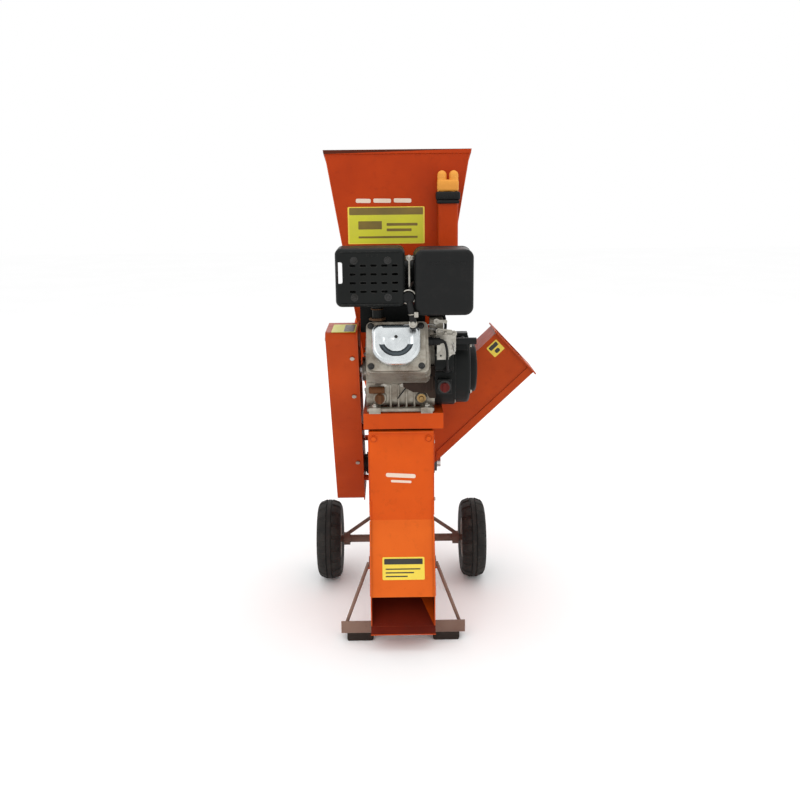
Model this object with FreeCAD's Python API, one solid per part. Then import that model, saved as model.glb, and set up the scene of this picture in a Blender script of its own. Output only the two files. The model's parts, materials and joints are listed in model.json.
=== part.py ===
"""Petrol wood chipper: rotor housing, discharge chute, hopper, side chute, engine, belt drive, wheels.

Millimetres. The origin is on the ground, midway between the two front rubber feet.
+X is the side chute's side, +Y points from the discharge mouth to the wheels, +Z is up.
"""

import FreeCAD
import Part
import math
import os

V = FreeCAD.Vector
X_AXIS = V(1, 0, 0)
Y_AXIS = V(0, 1, 0)
Z_AXIS = V(0, 0, 1)
ORIGIN = V(0, 0, 0)
FAR_CUT = 500.0         # cutting solids reach this far past the part

# ---- fits
RUN_FIT = 0.05          # radial clearance of a turning or sliding shaft
GAP = 0.5               # air between pieces that pass each other

# ---- sheet-metal body
BODY_W = 182.0          # outside width over both side plates
SHEET = 3.0             # body sheet
BODY_TOP = 655.0        # top of the side plates
FRONT_Y = 37.0          # outer face of the front plate
FRONT_TOP_Z = 612.0
BEND_Z = 345.0          # where the front plate bends into the deflector
MOUTH_Y = -62.0
MOUTH_TOP_Z = 155.0
MOUTH_LOW_Z = 62.0
FLANGE_W = 11.0         # turned edge beside the front plate

# ---- rotor
ROTOR_Y = 318.0
ROTOR_Z = 428.0
DISC_R = 150.0
DISC_T = 12.0
DISC_X = 60.0           # left face of the knife disc
TIP_GAP = 8.0           # rotor to housing wrap
SHAFT_R = 15.0
PIN_INSET = 42.0        # hammer pins inside the disc's edge
PIN_R = 8.0
PIN_COUNT = 4
HAMMER_T = 8.0
HAMMER_L = 52.0
HAMMER_W = 34.0
KNIFE_COUNT = 2
KNIFE_T = 9.0
KNIFE_IN = 56.0         # inner end of the knives, from the axis
BEARING_R = 40.0
BEARING_T = 22.0

# ---- belt drive
CRANK_Y = 131.0
PULLEY_IN = 42.0        # middle of both pulleys, from the guard's back plate
PULLEY_W = 40.0
ENGINE_PULLEY_R = 50.0
ROTOR_PULLEY_R = 65.0
BELT_W = 13.0
BELT_H = 9.0
BELT_PITCH = 19.0
GUARD_STANDOFF = 25.0   # side plate to guard
GUARD_D = 83.0
GUARD_TOP_Z = 900.0
GUARD_LOW_Z = 322.0
GUARD_HALF_W = 80.0
GUARD_SHEET = 2.0

# ---- engine
DECK_T = 8.0
DECK_LIP = 45.0
DECK_X0 = -104.0
DECK_X1 = 118.0
DECK_Y0 = 30.0
DECK_Y1 = 272.0
CRANK_H = 106.0         # crank centre above the engine's feet
CRANK_R = 12.7
CRANK_WEB_R = 46.0
FOOT_BOLT_X = 72.0
FOOT_BOLT_Y = 92.0
FOOT_RAIL_H = 16.0
PLUG_H = 38.0           # oil plugs above the deck
DIPSTICK_X = -58.0
PLUG_R = 9.0
CASE_X = 95.0           # crankcase, either side of the middle
CASE_FRONT = 74.0       # crankcase ahead of the crank
CASE_BACK = 78.0
CASE_TOP = 92.0
CRANK_SPACE_R = 58.0
TILT = 28.0             # cylinder above the horizontal
BORE_R = 44.0
STROKE = 64.0
PISTON_L = 40.0
FIN_T = 3.2
BARREL_AT = 98.0        # first fin, from the crank centre
HEAD_AT = 165.0         # head joint, from the crank centre
HEAD_L = 42.0
HEAD_X = -8.0           # middle of the head's fins
FIN_HALF_H = 70.0
COVER_X = -11.0
COVER_W = 156.0
COVER_H = 135.0
COVER_PLATE = 6.0
COVER_DOME = 25.0
PLUG_UP = 20.0          # spark plug above the cylinder's axis
CAP_END_X = 106.0
SHROUD_R = 104.0
SHROUD_D = 57.0
SHROUD_SHEET = 4.0
RECOIL_R = 98.0
RECOIL_D = 42.0
RECOIL_NOSE = 20.0
ROPE_UP = 96.0          # rope exit above the crank
ROPE_R = 2.3
LEVER_PIN_R = 2.5

# ---- muffler, air cleaner and tank: low X, and low Y and Z from the crank
MUFFLER_X0 = -140.0
MUFFLER_W = 134.0
MUFFLER_Y = -189.0
MUFFLER_D = 120.0
MUFFLER_Z = 213.0
MUFFLER_H = 130.0
MUFFLER_SHEET = 1.6
MUFFLER_ROUND = 18.0
EXHAUST_X = -60.0       # pipe from the head up into the can
EXHAUST_R = 13.0
TAIL_L = 25.0           # tail pipe out of the can's left end
TAIL_R = 12.0
SHIELD_GAP = 23.0       # air between can and shield on the left end
SHIELD_SHEET = 2.0
HEAT_PLATE_H = 77.0
CLEANER_X0 = 38.0
CLEANER_W = 152.0
CLEANER_Y = -211.0
CLEANER_D = 110.0
CLEANER_Z = 181.0
CLEANER_H = 169.0
CLEANER_TRAY = 16.0
TANK_X0 = -138.0
TANK_W = 280.0
TANK_Y = -47.0
TANK_D = 196.0
TANK_Z = 197.0
TANK_H = 112.0
TANK_SHEET = 1.5
TANK_ROUND = 26.0
NECK_R = 24.0
NECK_H = 8.0
CAP_R = 31.0
CAP_H = 22.0

# ---- hopper
THROAT_Y0 = 322.0
THROAT_Y1 = 474.0
HOPPER_FLANGE = 5.0
RIM_W = 427.0
RIM_Z = 1375.0
RIM_FRONT_Y = 350.0
RIM_BACK_Y = 735.0
RIM_BACK_Z = 1165.0
HOPPER_SHEET = 2.5
RIM_HEM = 12.0
CURTAIN_UP = 190.0      # curtain rod above the hopper's flange
CURTAIN_L = 150.0
CURTAIN_T = 4.0
CURTAIN_STRIPS = 5
CURTAIN_ROD_R = 3.0

# ---- push stick
STICK_X = 146.0
HOLDER_W = 58.0
HOLDER_D = 46.0
HOLDER_TOP = 1231.0
HOLDER_LOW = 1000.0
HOLDER_SHEET = 2.0
STICK_COLLAR = 25.0        # collar at the foot of the stick's head
STICK_HEAD = 66.0
KNUCKLE_R = 13.5

# ---- side chute
CHUTE_TILT = 43.5
CHUTE_Y0 = 250.0
CHUTE_D = 138.0
CHUTE_H = 164.0
CHUTE_LOW_Z = 436.0     # lower corner on the side plate
CHUTE_L = 424.0         # along the lower edge
CHUTE_STRIP = 22.0
CHUTE_FLOOR = 34.0       # duct floor above the lower edge of the cheeks
PORT_H = 105.0

# ---- running gear
WHEEL_Y = 423.0
WHEEL_D = 260.0
TYRE_W = 78.0
TRACK = 470.0
AXLE_R = 12.5
AXLE_PIN_R = 9.95
RIM_R = 66.0
FOOT_BAR_W = 356.0
FOOT_BAR_Y0 = -25.0
FOOT_BAR_D = 50.0
FOOT_BAR_T = 4.0
FOOT_H = 25.0
FOOT_X = 124.0
FOOT_LX = 74.0
ANCHOR_R = 5.25         # ground bolts through the feet
FOOT_BAR_H = 36.0
STAY_W = 10.0
POST_T = 5.0
HANDLE_R = 12.5
HANDLE_HALF = 140.0
HANDLE_Y = 690.0
HANDLE_Z = 860.0

# ---- worked-out places
HALF = BODY_W / 2
INNER = HALF - SHEET
PIN_RING_R = DISC_R - PIN_INSET
GUARD_IN_X = -HALF - GUARD_STANDOFF
GUARD_OUT_X = GUARD_IN_X - GUARD_D
PULLEY_X = GUARD_IN_X - PULLEY_IN
DECK_TOP = BODY_TOP + DECK_T
CRANK_Z = DECK_TOP + CRANK_H
WRAP_R = DISC_R + TIP_GAP + SHEET
BODY_BACK_Y = ROTOR_Y + WRAP_R
WHEEL_Z = WHEEL_D / 2
PORT_LOW_Z = CHUTE_LOW_Z + (CHUTE_FLOOR + SHEET) / math.cos(math.radians(CHUTE_TILT))
COVER_AT = HEAD_AT + HEAD_L
PLUG_AT = HEAD_AT + HEAD_L / 2
DECK_BASE_Z = BODY_TOP + HOPPER_FLANGE
BAR_LOW_Z = FOOT_H
BAR_TOP_Z = FOOT_H + FOOT_BAR_H
MUFFLER_X1 = MUFFLER_X0 + MUFFLER_W
MUFFLER_Y0 = CRANK_Y + MUFFLER_Y
MUFFLER_Y1 = MUFFLER_Y0 + MUFFLER_D
MUFFLER_Z0 = CRANK_Z + MUFFLER_Z
MUFFLER_Z1 = MUFFLER_Z0 + MUFFLER_H
EXHAUST_Y = MUFFLER_Y0 + 53
CLEANER_X1 = CLEANER_X0 + CLEANER_W
CLEANER_Y0 = CRANK_Y + CLEANER_Y
CLEANER_Y1 = CLEANER_Y0 + CLEANER_D
CLEANER_Z0 = CRANK_Z + CLEANER_Z
CLEANER_Z1 = CLEANER_Z0 + CLEANER_H
TANK_X1 = TANK_X0 + TANK_W
TANK_Y0 = CRANK_Y + TANK_Y
TANK_Y1 = TANK_Y0 + TANK_D
TANK_Z0 = CRANK_Z + TANK_Z
TANK_Z1 = TANK_Z0 + TANK_H
FILLER_X = TANK_X0 + 118
FILLER_Y = TANK_Y0 + 96
NECK_TOP = TANK_Z1 + NECK_H
PLUG_Z = DECK_TOP + PLUG_H
RECOIL_X0 = CASE_X + SHROUD_D
ROPE_X = RECOIL_X0 + 19
THROTTLE_AT = (CASE_X + 14, CRANK_Y - 131, CRANK_Z + 62)
CHOKE_AT = (CASE_X + 4, CRANK_Y - 101.5, CRANK_Z + 150)
FUEL_AT = (CASE_X + 4, CRANK_Y - 101.5, CRANK_Z + 124)


# ================================================================ helpers

def box(x0, x1, y0, y1, z0, z1):
    return Part.makeBox(x1 - x0, y1 - y0, z1 - z0, V(x0, y0, z0))


def cyl_x(x0, x1, y, z, r):
    return Part.makeCylinder(r, x1 - x0, V(x0, y, z), X_AXIS)


def cyl_y(x, y0, y1, z, r):
    return Part.makeCylinder(r, y1 - y0, V(x, y0, z), Y_AXIS)


def cyl_z(x, y, z0, z1, r):
    return Part.makeCylinder(r, z1 - z0, V(x, y, z0), Z_AXIS)


def rod(start, end, r):
    return Part.makeCylinder(r, (end - start).Length, start, end - start)


def prism_x(points, x0, x1):
    """A (y, z) outline pushed along X."""
    wire = Part.makePolygon([V(x0, y, z) for y, z in points + points[:1]])
    return Part.Face(wire).extrude(V(x1 - x0, 0, 0))


def prism_y(points, y0, y1):
    """An (x, z) outline pushed along Y."""
    wire = Part.makePolygon([V(x, y0, z) for x, z in points + points[:1]])
    return Part.Face(wire).extrude(V(0, y1 - y0, 0))


def hex_x(x0, x1, y, z, across):
    r = across / math.sqrt(3)
    points = [(y + r * math.cos(k * math.pi / 3), z + r * math.sin(k * math.pi / 3)) for k in range(6)]
    return prism_x(points, x0, x1)


def loft(sections):
    wires = [Part.makePolygon([V(*p) for p in s + s[:1]]) for s in sections]
    return Part.makeLoft(wires, True, True)


def straight_edges(shape, axis):
    """Edges parallel to an axis."""
    found = []
    for edge in shape.Edges:
        ends = edge.Vertexes
        if len(ends) == 2:
            run = ends[1].Point - ends[0].Point
            if run.Length > 1e-6 and run.cross(axis).Length < 1e-6 * run.Length:
                found.append(edge)
    return found


def rounded(shape, axis, r):
    """Round every edge that is parallel to an axis."""
    return shape.makeFillet(r, straight_edges(shape, axis))


def soft_box(x0, x1, y0, y1, z0, z1, r):
    """A box with every edge rounded."""
    block = box(x0, x1, y0, y1, z0, z1)
    return block.makeFillet(r, block.Edges)


def mirror_x(shape):
    return shape.mirror(ORIGIN, X_AXIS)


def both_sides(shape):
    return [shape, mirror_x(shape)]


def tilted(shape):
    """Swing an engine piece, modelled along -Y, up to the cylinder's angle."""
    turned = shape.copy()
    turned.rotate(V(0, CRANK_Y, CRANK_Z), X_AXIS, -TILT)
    return turned


def about_rotor(shape, degrees):
    turned = shape.copy()
    turned.rotate(V(0, ROTOR_Y, ROTOR_Z), X_AXIS, degrees)
    return turned


def save(name, shapes):
    """One node: a solid, or a group of separate solids."""
    group = shapes if isinstance(shapes, list) else [shapes]
    solids = [solid for shape in group for solid in shape.Solids]
    whole = solids[0] if len(solids) == 1 else Part.makeCompound(solids)
    whole.exportStep("parts/" + name + ".step")


# ================================================================ body

def floor_line():
    """The chute floor: its slope and the point where it meets the round wrap."""
    dy = ROTOR_Y - MOUTH_Y
    dz = ROTOR_Z - MOUTH_LOW_Z
    slope = math.atan2(dz, dy) - math.asin(WRAP_R / math.hypot(dy, dz))
    touch = (ROTOR_Y + WRAP_R * math.sin(slope), ROTOR_Z - WRAP_R * math.cos(slope))
    return slope, touch


def wrap_outline(r_in_step, x):
    """Floor, round wrap and back wall seen from the side, moved inwards by a step."""
    slope, touch = floor_line()
    ny = -math.sin(slope) * r_in_step
    nz = math.cos(slope) * r_in_step
    r = WRAP_R - r_in_step
    mid = slope / 2 + math.pi / 4
    start = V(x, MOUTH_Y + ny, MOUTH_LOW_Z + nz)
    meet = V(x, touch[0] + ny, touch[1] + nz)
    middle = V(x, ROTOR_Y + r * math.sin(mid), ROTOR_Z - r * math.cos(mid))
    side = V(x, ROTOR_Y + r, ROTOR_Z)
    top = V(x, ROTOR_Y + r, BODY_TOP - SHEET)
    return start, meet, middle, side, top


def housing_wrap():
    a = wrap_outline(0, -INNER)
    b = wrap_outline(SHEET, -INNER)
    edges = [
        Part.makeLine(a[0], a[1]),
        Part.Arc(a[1], a[2], a[3]).toShape(),
        Part.makeLine(a[3], a[4]),
        Part.makeLine(a[4], b[4]),
        Part.makeLine(b[4], b[3]),
        Part.Arc(b[3], b[2], b[1]).toShape(),
        Part.makeLine(b[1], b[0]),
        Part.makeLine(b[0], a[0]),
    ]
    return Part.Face(Part.Wire(edges)).extrude(V(2 * INNER, 0, 0))


def side_outline():
    slope = floor_line()[0]
    leg_y = WHEEL_Y - 95
    leg_z = MOUTH_LOW_Z + (leg_y - MOUTH_Y) * math.tan(slope)
    return [
        (FRONT_Y + SHEET, BODY_TOP),
        (BODY_BACK_Y, BODY_TOP),
        (BODY_BACK_Y, ROTOR_Z - 60),
        (WHEEL_Y + 32, WHEEL_Z - 24),
        (WHEEL_Y - 32, WHEEL_Z - 24),
        (leg_y, leg_z),
        (MOUTH_Y, MOUTH_LOW_Z),
        (MOUTH_Y, MOUTH_TOP_Z),
        (FRONT_Y + SHEET, BEND_Z),
    ]


def side_plate(sign):
    x0 = INNER if sign > 0 else -HALF
    plate = prism_x(side_outline(), x0, x0 + SHEET)
    plate = plate.cut(cyl_x(x0 - 1, x0 + SHEET + 1, ROTOR_Y, ROTOR_Z, SHAFT_R + 6))
    plate = plate.cut(cyl_x(x0 - 1, x0 + SHEET + 1, WHEEL_Y, WHEEL_Z, AXLE_R + RUN_FIT))
    if sign > 0:
        port = box(x0 - 1, x0 + SHEET + 1, CHUTE_Y0 + 8, CHUTE_Y0 + CHUTE_D - 8,
                   PORT_LOW_Z, PORT_LOW_Z + PORT_H)
        plate = plate.cut(rounded(port, X_AXIS, 8))
    return plate


def chute_front():
    """Front plate, deflector and their turned edges, in one bent sheet."""
    lean_y = FRONT_Y + SHEET - MOUTH_Y
    lean_z = BEND_Z - MOUTH_TOP_Z
    across = SHEET * math.hypot(lean_y, lean_z) / lean_z
    outline = [
        (FRONT_Y, FRONT_TOP_Z),
        (FRONT_Y + SHEET, FRONT_TOP_Z),
        (FRONT_Y + SHEET, BEND_Z),
        (MOUTH_Y, MOUTH_TOP_Z),
        (MOUTH_Y - across, MOUTH_TOP_Z),
        (FRONT_Y, BEND_Z + SHEET / 3),
    ]
    sheet = prism_x(outline, -HALF, HALF)
    flange = box(-HALF, HALF, FRONT_Y - 14, FRONT_Y, FRONT_TOP_Z - SHEET, FRONT_TOP_Z)
    sheet = sheet.fuse(flange).removeSplitter()
    for x in (-HALF + 14, HALF - 14):
        sheet = sheet.cut(cyl_y(x, FRONT_Y - 20, FRONT_Y + 20, FRONT_TOP_Z - 24, 4.5))
    return sheet


def chute_edge_strips():
    """Narrow stiffening strips welded along both edges of the deflector."""
    lean = math.atan2(FRONT_Y - MOUTH_Y, BEND_Z - MOUTH_TOP_Z)
    off_y = 6 * math.cos(lean)
    off_z = 6 * math.sin(lean)
    across = SHEET * math.hypot(FRONT_Y + SHEET - MOUTH_Y, BEND_Z - MOUTH_TOP_Z) / (BEND_Z - MOUTH_TOP_Z)
    face_low = (MOUTH_Y - across, MOUTH_TOP_Z)
    face_top = (FRONT_Y, BEND_Z + SHEET / 3)
    outline = [
        face_low,
        face_top,
        (face_top[0], face_top[1] + 60),
        (face_top[0] - 5, face_top[1] + 60),
        (face_top[0] - off_y, face_top[1] + off_z / 2),
        (face_low[0] - off_y, face_low[1] + off_z / 2),
    ]
    return both_sides(prism_x(outline, HALF - SHEET, HALF))


def mouth_lip():
    """Turned-down lip under the discharge mouth."""
    return prism_x(
        [
            (MOUTH_Y, MOUTH_LOW_Z),
            (MOUTH_Y, MOUTH_LOW_Z + SHEET),
            (MOUTH_Y - 26, MOUTH_LOW_Z - 9),
            (MOUTH_Y - 26, MOUTH_LOW_Z - 9 - SHEET),
        ],
        -HALF,
        HALF,
    )


def rotor_front_wall():
    """Inner wall between the rotor and the space under the engine."""
    y = ROTOR_Y - WRAP_R
    return box(-INNER, INNER, y, y + SHEET, ROTOR_Z - 20, BODY_TOP - SHEET)


def top_plate():
    plate = box(-INNER, INNER, ROTOR_Y - WRAP_R, BODY_BACK_Y, BODY_TOP - SHEET, BODY_TOP)
    return plate.cut(
        box(-INNER + 10, INNER - 10, THROAT_Y0 + 10, THROAT_Y1 - 10, BODY_TOP - 10, BODY_TOP + 10)
    )


def discharge_screen():
    """Round grate under the hammers, with slots for the chips."""
    r = DISC_R + TIP_GAP - 1
    half = INNER - 3
    ring = cyl_x(-half, half, ROTOR_Y, ROTOR_Z, r).cut(cyl_x(-half, half, ROTOR_Y, ROTOR_Z, r - 5))
    start, end = 192, 292
    reach = 2 * r
    wedge = [
        (ROTOR_Y, ROTOR_Z),
        (ROTOR_Y + reach * math.cos(math.radians(start)), ROTOR_Z + reach * math.sin(math.radians(start))),
        (ROTOR_Y - reach, ROTOR_Z - reach),
        (ROTOR_Y + reach * math.cos(math.radians(end)), ROTOR_Z + reach * math.sin(math.radians(end))),
    ]
    grate = ring.common(prism_x(wedge, -half, half))
    for k in range(6):
        for x in (-58, -14.5, 29):
            slot = box(x, x + 29, ROTOR_Y - 9, ROTOR_Y + 9, ROTOR_Z + r - 12, ROTOR_Z + r + 6)
            grate = grate.cut(about_rotor(slot, start + 9 + k * 16 - 90))
    return grate


# ================================================================ rotor

def rotor_shaft():
    shaft = cyl_x(PULLEY_X - PULLEY_W / 2 - 8, HALF + BEARING_T + 12, ROTOR_Y, ROTOR_Z, SHAFT_R)
    hub = cyl_x(-70, DISC_X - GAP, ROTOR_Y, ROTOR_Z, SHAFT_R + 12)
    return shaft.fuse(hub)


def knife_disc():
    disc = cyl_x(DISC_X, DISC_X + DISC_T, ROTOR_Y, ROTOR_Z, DISC_R)
    disc = disc.cut(cyl_x(DISC_X - 1, DISC_X + DISC_T + 1, ROTOR_Y, ROTOR_Z, SHAFT_R))
    for k in range(PIN_COUNT):
        hole = cyl_x(DISC_X - 1, DISC_X + DISC_T + 1, ROTOR_Y, ROTOR_Z + PIN_RING_R, PIN_R)
        disc = disc.cut(about_rotor(hole, k * 360 / PIN_COUNT))
    for k in range(KNIFE_COUNT):
        slot = box(DISC_X - 1, DISC_X + DISC_T + 1, ROTOR_Y - 16, ROTOR_Y - 2,
                   ROTOR_Z + KNIFE_IN + 2, ROTOR_Z + DISC_R - 12)
        disc = disc.cut(about_rotor(slot, 45 + k * 360 / KNIFE_COUNT))
    return disc


def hammer_plate():
    plate = cyl_x(-66, -60, ROTOR_Y, ROTOR_Z, PIN_RING_R + 22)
    plate = plate.cut(cyl_x(-67, -59, ROTOR_Y, ROTOR_Z, SHAFT_R + 12))
    for k in range(PIN_COUNT):
        hole = cyl_x(-67, -59, ROTOR_Y, ROTOR_Z + PIN_RING_R, PIN_R)
        plate = plate.cut(about_rotor(hole, k * 360 / PIN_COUNT))
    return plate


def chipper_knives():
    knives = []
    for k in range(KNIFE_COUNT):
        x0 = DISC_X + DISC_T
        outline = [(0, 0), (KNIFE_T - 2, 0), (KNIFE_T, -2), (KNIFE_T - 5, 34), (0, 34), (0, 0)]
        wire = Part.makePolygon([V(x0 + a, ROTOR_Y - b + 34, ROTOR_Z + KNIFE_IN) for a, b in outline])
        blade = Part.Face(wire).extrude(V(0, 0, DISC_R - 10 - KNIFE_IN))
        knives.append(about_rotor(blade, 45 + k * 360 / KNIFE_COUNT))
    return knives


def hammer_pins():
    pin = cyl_x(-66, DISC_X + DISC_T, ROTOR_Y, ROTOR_Z + PIN_RING_R, PIN_R)
    return [about_rotor(pin, k * 360 / PIN_COUNT) for k in range(PIN_COUNT)]


def hammer_set(k):
    """Swinging hammers on one pin, each with its spacer tube."""
    pin_z = ROTOR_Z + PIN_RING_R
    reach = DISC_R - PIN_RING_R - 3
    pieces = []
    for x in (-46, -8, 30):
        blade = box(x, x + HAMMER_T, ROTOR_Y - HAMMER_W / 2, ROTOR_Y + HAMMER_W / 2,
                    pin_z + reach - HAMMER_L, pin_z + reach)
        blade = rounded(blade, X_AXIS, 5)
        blade = blade.fuse(cyl_x(x - 4, x + HAMMER_T + 4, ROTOR_Y, pin_z, PIN_R + 4))
        blade = blade.cut(cyl_x(x - 6, x + HAMMER_T + 6, ROTOR_Y, pin_z, PIN_R + RUN_FIT))
        pieces.append(about_rotor(blade, k * 360 / PIN_COUNT))
    return pieces


def anvil():
    """Fixed counter-knife on the side plate, under the port."""
    return box(DISC_X + DISC_T + KNIFE_T + 1, INNER, CHUTE_Y0 + 12, CHUTE_Y0 + CHUTE_D - 12,
               PORT_LOW_Z - 30, PORT_LOW_Z - 4)


def bearing_housing(sign):
    """Round flange bearing outside a side plate."""
    flange = cyl_x(HALF, HALF + 10, ROTOR_Y, ROTOR_Z, BEARING_R)
    nose = cyl_x(HALF + 10, HALF + BEARING_T, ROTOR_Y, ROTOR_Z, BEARING_R - 12)
    body = flange.fuse(nose).removeSplitter()
    body = body.cut(cyl_x(HALF - 1, HALF + BEARING_T + 1, ROTOR_Y, ROTOR_Z, SHAFT_R + RUN_FIT))
    for k in range(4):
        angle = math.radians(45 + 90 * k)
        y = ROTOR_Y + (BEARING_R - 6.5) * math.cos(angle)
        z = ROTOR_Z + (BEARING_R - 6.5) * math.sin(angle)
        body = body.fuse(hex_x(HALF + 10, HALF + 15, y, z, 8))
    return body if sign > 0 else mirror_x(body)


# ================================================================ belt drive

def grooved_pulley(y, z, r, bore):
    x0 = PULLEY_X - PULLEY_W / 2
    x1 = PULLEY_X + PULLEY_W / 2
    wheel = cyl_x(x0, x1, y, z, r)
    for side in (-1, 1):
        mid = PULLEY_X + side * BELT_PITCH / 2
        half = BELT_W / 2 + GAP
        wheel = wheel.cut(cyl_x(mid - half, mid + half, y, z, r + 1).cut(
            cyl_x(mid - half, mid + half, y, z, r - BELT_H - 2)))
    return wheel.cut(cyl_x(x0 - 1, x1 + 1, y, z, bore))


def engine_pulley():
    return grooved_pulley(CRANK_Y, CRANK_Z, ENGINE_PULLEY_R, CRANK_R)


def rotor_pulley():
    return grooved_pulley(ROTOR_Y, ROTOR_Z, ROTOR_PULLEY_R, SHAFT_R)


def belt_loop(x, r_small, r_big):
    """Closed band round two circles, as a filled outline."""
    d = math.hypot(ROTOR_Y - CRANK_Y, ROTOR_Z - CRANK_Z)
    lean = math.asin((r_big - r_small) / d)
    aim = math.atan2(ROTOR_Z - CRANK_Z, ROTOR_Y - CRANK_Y)

    def at(cy, cz, r, angle):
        return V(x, cy + r * math.cos(angle), cz + r * math.sin(angle))

    left = aim + math.pi / 2 + lean
    right = aim - math.pi / 2 - lean
    a = at(CRANK_Y, CRANK_Z, r_small, left)
    b = at(ROTOR_Y, ROTOR_Z, r_big, left)
    c = at(ROTOR_Y, ROTOR_Z, r_big, right)
    e = at(CRANK_Y, CRANK_Z, r_small, right)
    far = at(ROTOR_Y, ROTOR_Z, r_big, aim)
    near = at(CRANK_Y, CRANK_Z, r_small, aim + math.pi)
    edges = [
        Part.makeLine(a, b),
        Part.Arc(b, far, c).toShape(),
        Part.makeLine(c, e),
        Part.Arc(e, near, a).toShape(),
    ]
    return Part.Face(Part.Wire(edges)).extrude(V(BELT_W, 0, 0))


def v_belts():
    loops = []
    for side in (-1, 1):
        x = PULLEY_X + side * BELT_PITCH / 2 - BELT_W / 2
        small = ENGINE_PULLEY_R - BELT_H - 1
        big = ROTOR_PULLEY_R - BELT_H - 1
        loops.append(belt_loop(x, small + BELT_H, big + BELT_H).cut(belt_loop(x, small, big)))
    return loops


def guard_outline(inset):
    """Four-sided guard outline along the line of the belts."""
    dy = ROTOR_Y - CRANK_Y
    dz = CRANK_Z - ROTOR_Z
    across = (GUARD_HALF_W - inset) * math.hypot(dy, dz) / dz
    top = GUARD_TOP_Z - inset
    low = GUARD_LOW_Z + inset
    lean = dy / dz
    top_y = CRANK_Y - (top - CRANK_Z) * lean
    low_y = ROTOR_Y + (ROTOR_Z - low) * lean
    return [(top_y - across, top), (top_y + across, top), (low_y + across, low), (low_y - across, low)]


def guard_cover():
    outside = rounded(prism_x(guard_outline(0), GUARD_OUT_X, GUARD_IN_X), X_AXIS, 12)
    inside = prism_x(guard_outline(GUARD_SHEET), GUARD_OUT_X + GUARD_SHEET, GUARD_IN_X + 1)
    return outside.cut(rounded(inside, X_AXIS, 10))


def guard_back_plate():
    plate = rounded(prism_x(guard_outline(-6), GUARD_IN_X, GUARD_IN_X + SHEET), X_AXIS, 12)
    plate = plate.cut(cyl_x(GUARD_IN_X - 1, GUARD_IN_X + SHEET + 1, CRANK_Y, CRANK_Z, CRANK_R + 12))
    plate = plate.cut(cyl_x(GUARD_IN_X - 1, GUARD_IN_X + SHEET + 1, ROTOR_Y, ROTOR_Z, SHAFT_R + 12))
    for y, z in guard_post_places():
        plate = plate.cut(cyl_x(GUARD_IN_X - 1, GUARD_IN_X + SHEET + 1, y, z, 4))
    return plate


def guard_post_places():
    """Two standoffs on the left side plate that carry the guard."""
    return [(CRANK_Y + 60, BODY_TOP - 75), (ROTOR_Y + 75, ROTOR_Z + 60), (ROTOR_Y - 55, ROTOR_Z - 30)]


def guard_posts():
    return [cyl_x(GUARD_IN_X + SHEET, -HALF, y, z, 9) for y, z in guard_post_places()]


def guard_bolts():
    """Cap screws in the guard's sloping front edge."""
    bolts = []
    outline = guard_outline(0)
    top = V(0, *outline[0])
    low = V(0, *outline[3])
    run = low - top
    normal = V(0, run.z, -run.y) / run.Length
    for share in (0.13, 0.34, 0.75):
        seat = top + run * share
        seat.x = GUARD_IN_X - 14
        bolts.append(Part.makeCylinder(6, 4, seat, normal))
    return bolts


# ================================================================ engine

def engine_deck():
    plate = box(DECK_X0, DECK_X1, DECK_Y0, DECK_Y1, BODY_TOP, DECK_TOP)
    lip = box(DECK_X0, DECK_X1, DECK_Y0, DECK_Y0 + SHEET, DECK_TOP - DECK_LIP, DECK_TOP)
    deck = plate.fuse(lip).removeSplitter()
    for x, y in foot_bolt_places():
        deck = deck.cut(box(x - 5.5, x + 5.5, y - 5, y + 5, BODY_TOP - 1, DECK_TOP + 1))
    return deck


def engine_feet():
    """Two cast rails under the crankcase, in one piece with it."""
    reach = FOOT_BOLT_Y + 12
    return [box(x - 16, x + 16, CRANK_Y - reach, CRANK_Y + reach, DECK_TOP, DECK_TOP + FOOT_RAIL_H)
            for x in (-FOOT_BOLT_X, FOOT_BOLT_X)]


def foot_bolt_places():
    return [(x, CRANK_Y + y) for x in (-FOOT_BOLT_X, FOOT_BOLT_X) for y in (-FOOT_BOLT_Y, FOOT_BOLT_Y)]


def crankcase():
    """Case, finned barrel and tank posts in one casting, hollow for the crank and piston."""
    case = box(-CASE_X, CASE_X, CRANK_Y - CASE_FRONT, CRANK_Y + CASE_BACK, DECK_TOP + 10, CRANK_Z + CASE_TOP)
    case = rounded(case, X_AXIS, 22)
    for rail in engine_feet():
        case = case.fuse(rail)
    case = case.fuse(cyl_x(-CASE_X - 12, -CASE_X, CRANK_Y, CRANK_Z, 34))
    root = box(-FIN_HALF_H, FIN_HALF_H, CRANK_Y - BARREL_AT - 2, CRANK_Y - 30,
               CRANK_Z - FIN_HALF_H + 8, CRANK_Z + FIN_HALF_H - 8)
    case = case.fuse(tilted(root)).removeSplitter()
    case = case.cut(cyl_x(-CASE_X + 20, CASE_X - 20, CRANK_Y, CRANK_Z, CRANK_SPACE_R))
    case = case.cut(cyl_x(-CASE_X - 20, CASE_X + 20, CRANK_Y, CRANK_Z, CRANK_R + RUN_FIT))
    case = case.fuse(tilted(finned_block(BARREL_AT, HEAD_AT, 80, 6, 0)))
    for post in tank_brackets():
        case = case.fuse(post)
    case = case.cut(tilted(cyl_y(0, CRANK_Y - HEAD_AT - 1, CRANK_Y, CRANK_Z, BORE_R)))
    return case.cut(cyl_y(DIPSTICK_X, CRANK_Y - 90, CRANK_Y - 40, PLUG_Z, PLUG_R))


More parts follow.
